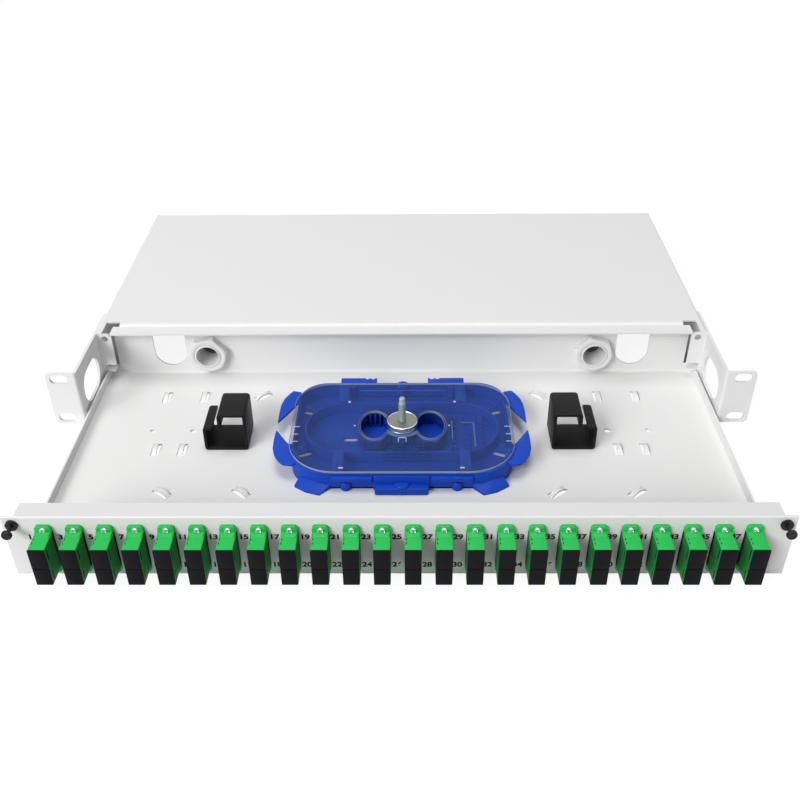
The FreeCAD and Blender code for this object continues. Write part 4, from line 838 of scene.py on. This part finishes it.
# splice holder: a comb of thin ribs with hooked ends on a small deck
holder = {"box": (32.0, 56.0, -11.0, 23.0), "ribs": 7, "rib": 1.2, "deckTop": 5.6,
          "teeth": ((32.6, 37.0, 10.2), (41.5, 46.5, 9.0), (51.0, 55.4, 10.2))}
shape = Shape()
softBlock(shape, holder["box"], 1.0, 4, cassette["deck"], holder["deckTop"], 0.25)
for place in np.linspace(holder["box"][2], holder["box"][3] - holder["rib"], holder["ribs"]):
    for x0, x1, top in holder["teeth"]:
        tooth = local(softBox(x0, x1, place, place + holder["rib"], 0.4, 3))
        plate(shape, tooth, [(0, holder["deckTop"] - 0.2), (0, top - 0.8), (0.2, top - 0.2), (0.4, top)])
shape.piece("spliceComb", "drawer", "cassette_plastic", "cassetteBlue", ["splice_holder"])

# cover: its cut edges catch the light, so thin pale rings round the outline and the finger holes paint that
# highlight
cover = {"low": 15.4, "top": 17.0, "half": 74.0, "front": -45.8, "rear": 53.4, "frontCorner": 32.0,
         "rearCorner": 25.0, "fingerY": 3.4, "fingerHalf": (9.4, 14.8), "studHalf": 3.0, "skin": 0.03}
coverOutline = local(roundedOutline(-cover["half"], cover["half"], cover["front"], cover["rear"],
                                    cover["frontCorner"], cover["rearCorner"], 18))
fingerHoles = [local(ovalOutline(cassette["middle"] + side * cassette["wellPitch"], cover["fingerY"], 48,
                                 *cover["fingerHalf"])) for side in (-1, 1)]
studHole = local(ovalOutline(cassette["middle"], cassette["pillarY"], 28, cover["studHalf"]))
sheet, rims, marks, ribs, glints = Shape(), Shape(), Shape(), Shape(), Shape()
plate(sheet, coverOutline, [(0.25, cover["low"]), (0, cover["low"] + 0.25), (0, cover["top"] - 0.3),
                            (0.3, cover["top"])], holes=fingerHoles + [studHole])
rimLow, rimTop = cover["low"] + 0.2, cover["top"] - cover["skin"]
wall(rims, coverOutline, [(-0.06, rimLow), (-0.02, rimLow + 0.1), (-0.02, rimTop - 0.32), (-0.2, rimTop),
                          (-0.38, rimTop), (-0.38, rimLow)])
for hole in fingerHoles:
    for inner, outer in ((0.04, 0.18), (1.4, 1.52)):
        wall(rims, hole, [(inner, cover["top"] - 0.6), (outer, cover["top"] - 0.6), (outer, rimTop),
                          (inner + 0.05, rimTop), (inner, cover["top"] - 0.1)])


markRows = [(0, cover["top"] - 0.3), (0.05, cover["top"] - 0.01)]


# a low soft-cornered bar just under the sheet's top
def addMark(shape, x, y, long, wide):
    mark = softBox(x - long / 2, x + long / 2, y - wide / 2, y + wide / 2, min(long, wide) * 0.3, 3)
    plate(shape, local(mark), markRows)


# dashes at the sides, a catch near each front corner and dots of the moulding
for side in (-1, 1):
    for y, long in ((1.8, 4.6), (-6.4, 4.2), (-14.2, 4.6)):
        addMark(marks, side * (cover["half"] - 1.2 - long / 2), y, long, 0.6)
    addMark(marks, side * 38.4, -41.6, 3.0, 1.3)
    for x, y, radius in ((36.4, 30.4, 1.0), (31.6, 3.0, 0.7)):
        dot = [(radius, cover["top"] - 0.3), (radius - 0.1, cover["top"] - 0.01), (0.1, cover["top"] - 0.005)]
        turnedLocal(marks, side * x, y, dot, 14)
# small bracket in front of the nut
for x in (-2.2, 2.8):
    addMark(marks, x, -12.6, 0.5, 4.6)
addMark(marks, cassette["middle"], -10.5, 5.5, 0.6)
# fine ribs in front of the bracket and one behind the nut
for row in range(6):
    addMark(ribs, 4.0, -17.6 - 3.4 * row, 30.0, 0.7)
addMark(ribs, cassette["middle"], 37.0, 54.0, 0.5)
# painted highlights: light lines at the rear and over the splice holder, and a pale patch under the nut, a
# painted pool of light
for x, y, long, wide in ((cassette["middle"], 44.2, 60.0, 0.3), (48.0, -7.0, 0.8, 26.0),
                         (43.6, 6.4, 8.0, 0.6), (33.4, -2.0, 0.7, 20.0)):
    addMark(glints, x, y, long, wide)
plate(glints, local(ovalOutline(cassette["middle"], -4.4, 40, 10.0, 5.4)), markRows)
sheet.piece("coverSheet", "drawer", "cover_plastic", "coverClear", ["cassette_cover"], 30.0)
rims.piece("coverRims", "drawer", "cover_plastic", "coverEdgeHighlight")
marks.piece("coverMarks", "drawer", "cover_plastic", "coverMark")
ribs.piece("coverRibs", "drawer", "cover_plastic", "coverRib")
glints.piece("coverGlints", "drawer", "cover_plastic", "coverPaintedGlint")
print("splice holder and cover placed")

# stud: a helical thread up to a bead, and a plain end above it
stud = {"x": 1.8, "y": -77.0, "low": 2.6, "top": 39.9, "radius": 2.40, "bead": 2.48, "end": 2.02,
        "endTall": 5.0, "lead": 0.8, "thread": 0.10, "step": 0.2, "count": 24}
beadLevel = stud["top"] - stud["endTall"]


# the radius rises and falls with the level over the lead, shifted by the turn, so the ridge climbs as a helix
def threadRipple(turn, level):
    ridge = stud["thread"] * (np.cos(2 * math.pi * level / stud["lead"] - turn) - 0.5)
    return np.where(level < beadLevel - 0.75, ridge, 0.0)


shape = Shape()
levels = np.arange(stud["low"], beadLevel - 0.8, stud["step"])
profile = [(stud["radius"], level) for level in levels]
profile += [(2.15, beadLevel - 0.7), (2.45, beadLevel - 0.5), (stud["bead"], beadLevel + 0.5),
            (2.10, beadLevel + 0.8), (stud["end"], stud["top"] - 1.0), (1.7, stud["top"] - 0.4),
            (1.0, stud["top"] - 0.05), (0.3, stud["top"])]
turned(shape, (stud["x"], stud["y"], 0), profile, "z", stud["count"], threadRipple)
shape.piece("threadedStud", "drawer", "stud_metal", "studZinc", ["cassette_stud"], 60.0)

# thumb nut: the edge is a cosine knurl of fine ridges round a plain body
thumbNut = {"low": 17.8, "top": 21.8, "radius": 10.2, "rim": 0.9, "bore": 2.6, "ridges": 54, "perRidge": 4,
            "depth": 0.22}
nutSpot = np.array([stud["x"], stud["y"]])
nutPoints = thumbNut["ridges"] * thumbNut["perRidge"]
ripple = 0.5 * np.cos(thumbNut["ridges"] * turns(nutPoints)) - 0.5
ridged = thumbNut["radius"] + thumbNut["depth"] * ripple
knurled = ovalOutline(*nutSpot, nutPoints, ridged)
bore = ovalOutline(*nutSpot, 40, thumbNut["bore"])
inner = ovalOutline(*nutSpot, nutPoints, thumbNut["radius"] - thumbNut["rim"])
body, knurl = Shape(), Shape()
low, top = thumbNut["low"], thumbNut["top"]
plate(body, inner, [(0, low), (0, top - 0.25), (0.1, top - 0.12)], holes=[bore])
body.piece("nutBody", "nut", "nut_metal", "nutChrome", ["thumb_nut"], 40.0)
plate(knurl, knurled, [(0.45, low), (0.08, low + 0.4), (0, low + 0.5), (0, top - 0.5),
                       (0.08, top - 0.35), (0.4, top)], holes=[inner])
knurl.piece("nutKnurl", "nut", "nut_metal", "rimChrome", smooth=40.0)
print("stud and nut placed")

# ear screws
earScrews = {"x": 222.0, "y": 18.0, "heights": (11.8, 31.8), "radius": 2.9, "tall": 1.8}
shape = Shape()
for side in (-1, 1):
    for height in earScrews["heights"]:
        spot = (side * earScrews["x"], earScrews["y"], height)
        addCrossHead(shape, spot, earScrews["radius"], earScrews["tall"], side)
shape.piece("earScrewHeads", "casing_body", "screw_steel", "screwSteel", ["ear_screws"])

# floor, light and camera
studio = {"floorLevel": -0.02195, "floorHalf": 6.0, "paper": 0.80, "dim": 0.16, "glow": 0.89,
          "worldLevel": 0.20, "lampSize": 1.6, "target": (0, -0.08, 0)}


def diffuse(tree, tone):
    return newNode(tree, "BsdfDiffuse", {"Color": (tone, tone, tone, 1.0)}).outputs[0]


# seen straight or in a mirror the paper is dim and glows evenly, and it lights the object as plain pale paper
def makePaper():
    material = bpy.data.materials.new("studioPaper")
    material.use_nodes = True
    tree = material.node_tree
    tree.nodes.clear()
    output = newNode(tree, "OutputMaterial")
    paths = newNode(tree, "LightPath")
    glow = newNode(tree, "Emission", {"Strength": studio["glow"]})
    seen = newNode(tree, "AddShader")
    tree.links.new(diffuse(tree, studio["dim"]), seen.inputs[0])
    tree.links.new(glow.outputs[0], seen.inputs[1])
    either = maths(tree, "MAXIMUM", paths.outputs["Is Camera Ray"], paths.outputs["Is Glossy Ray"])
    third = maths(tree, "MAXIMUM", either, paths.outputs["Is Transmission Ray"])
    choose = newNode(tree, "MixShader")
    tree.links.new(third, choose.inputs[0])
    tree.links.new(diffuse(tree, studio["paper"]), choose.inputs[1])
    tree.links.new(seen.outputs[0], choose.inputs[2])
    tree.links.new(choose.outputs[0], output.inputs["Surface"])
    return material


half, level = studio["floorHalf"], studio["floorLevel"]
floorMesh = bpy.data.meshes.new("studioFloor")
corners = [(-half, -half, level), (half, -half, level), (half, half, level), (-half, half, level)]
floorMesh.from_pydata(corners, [], [(0, 1, 2, 3)])
floorMesh.materials.append(makePaper())
newItem("studioFloor", floorMesh)

# the world is white where the camera or a mirror sees it, and a weak fill for the rest
world = bpy.data.worlds.new("studioWorld")
bpy.context.scene.world = world
world.use_nodes = True
tree = world.node_tree
background = tree.nodes["Background"]
paths = newNode(tree, "LightPath")
either = maths(tree, "MAXIMUM", paths.outputs["Is Camera Ray"], paths.outputs["Is Glossy Ray"])
strength = newNode(tree, "MapRange", {"To Min": studio["worldLevel"], "To Max": 1.0})
tree.links.new(either, strength.inputs["Value"])
tree.links.new(strength.outputs["Result"], background.inputs["Strength"])
fill(background, {"Color": (1.0, 1.0, 1.0, 1.0)})


def areaLamp(name, watts, place):
    lamp = bpy.data.lights.new(name, "AREA")
    lamp.energy, lamp.size = watts, studio["lampSize"]
    item = newItem(name, lamp)
    item.location = place
    item.rotation_euler = (Vector(studio["target"]) - Vector(place)).to_track_quat("-Z", "Y").to_euler()


# two soft lights from the left, the front one stronger, one from above and a touch from the front
areaLamp("keyLamp", 92.0, (-1.9, -2.6, 1.9))
areaLamp("sideLamp", 27.0, (-2.4, -1.3, 2.5))
areaLamp("topLamp", 40.0, (0.0, 0.2, 3.2))
areaLamp("frontLamp", 4.0, (0.4, -3.2, 1.7))

# camera: found by fitting the casing, ears and panel edges of the photograph; focal is in the photo's pixels
view = {"focal": 947.98, "photoWidth": 800.0, "sensor": 36.0, "place": (7.43, -585.10, 396.62),
        "pitch": 35.217, "yaw": -0.793, "roll": -0.580}
pitch, yaw, roll = (math.radians(view[key]) for key in ("pitch", "yaw", "roll"))
forward = np.array([math.sin(yaw) * math.cos(pitch), math.cos(yaw) * math.cos(pitch), -math.sin(pitch)])
right = np.array([math.cos(yaw), -math.sin(yaw), 0.0])
up = np.cross(right, forward)
rightTurned = math.cos(roll) * right + math.sin(roll) * up
upTurned = -math.sin(roll) * right + math.cos(roll) * up
cameraData = bpy.data.cameras.new("photoCamera")
cameraData.lens = view["focal"] * view["sensor"] / view["photoWidth"]
cameraData.sensor_width = view["sensor"]
cameraData.clip_start = 0.01
camera = newItem("photoCamera", cameraData)
matrix = Matrix((rightTurned, upTurned, -forward)).transposed().to_4x4()
matrix.translation = Vector(toRack(view["place"]))
camera.matrix_world = matrix
bpy.context.scene.camera = camera
bpy.context.scene.view_settings.view_transform = "Standard"
print("floor, lamps and camera set")
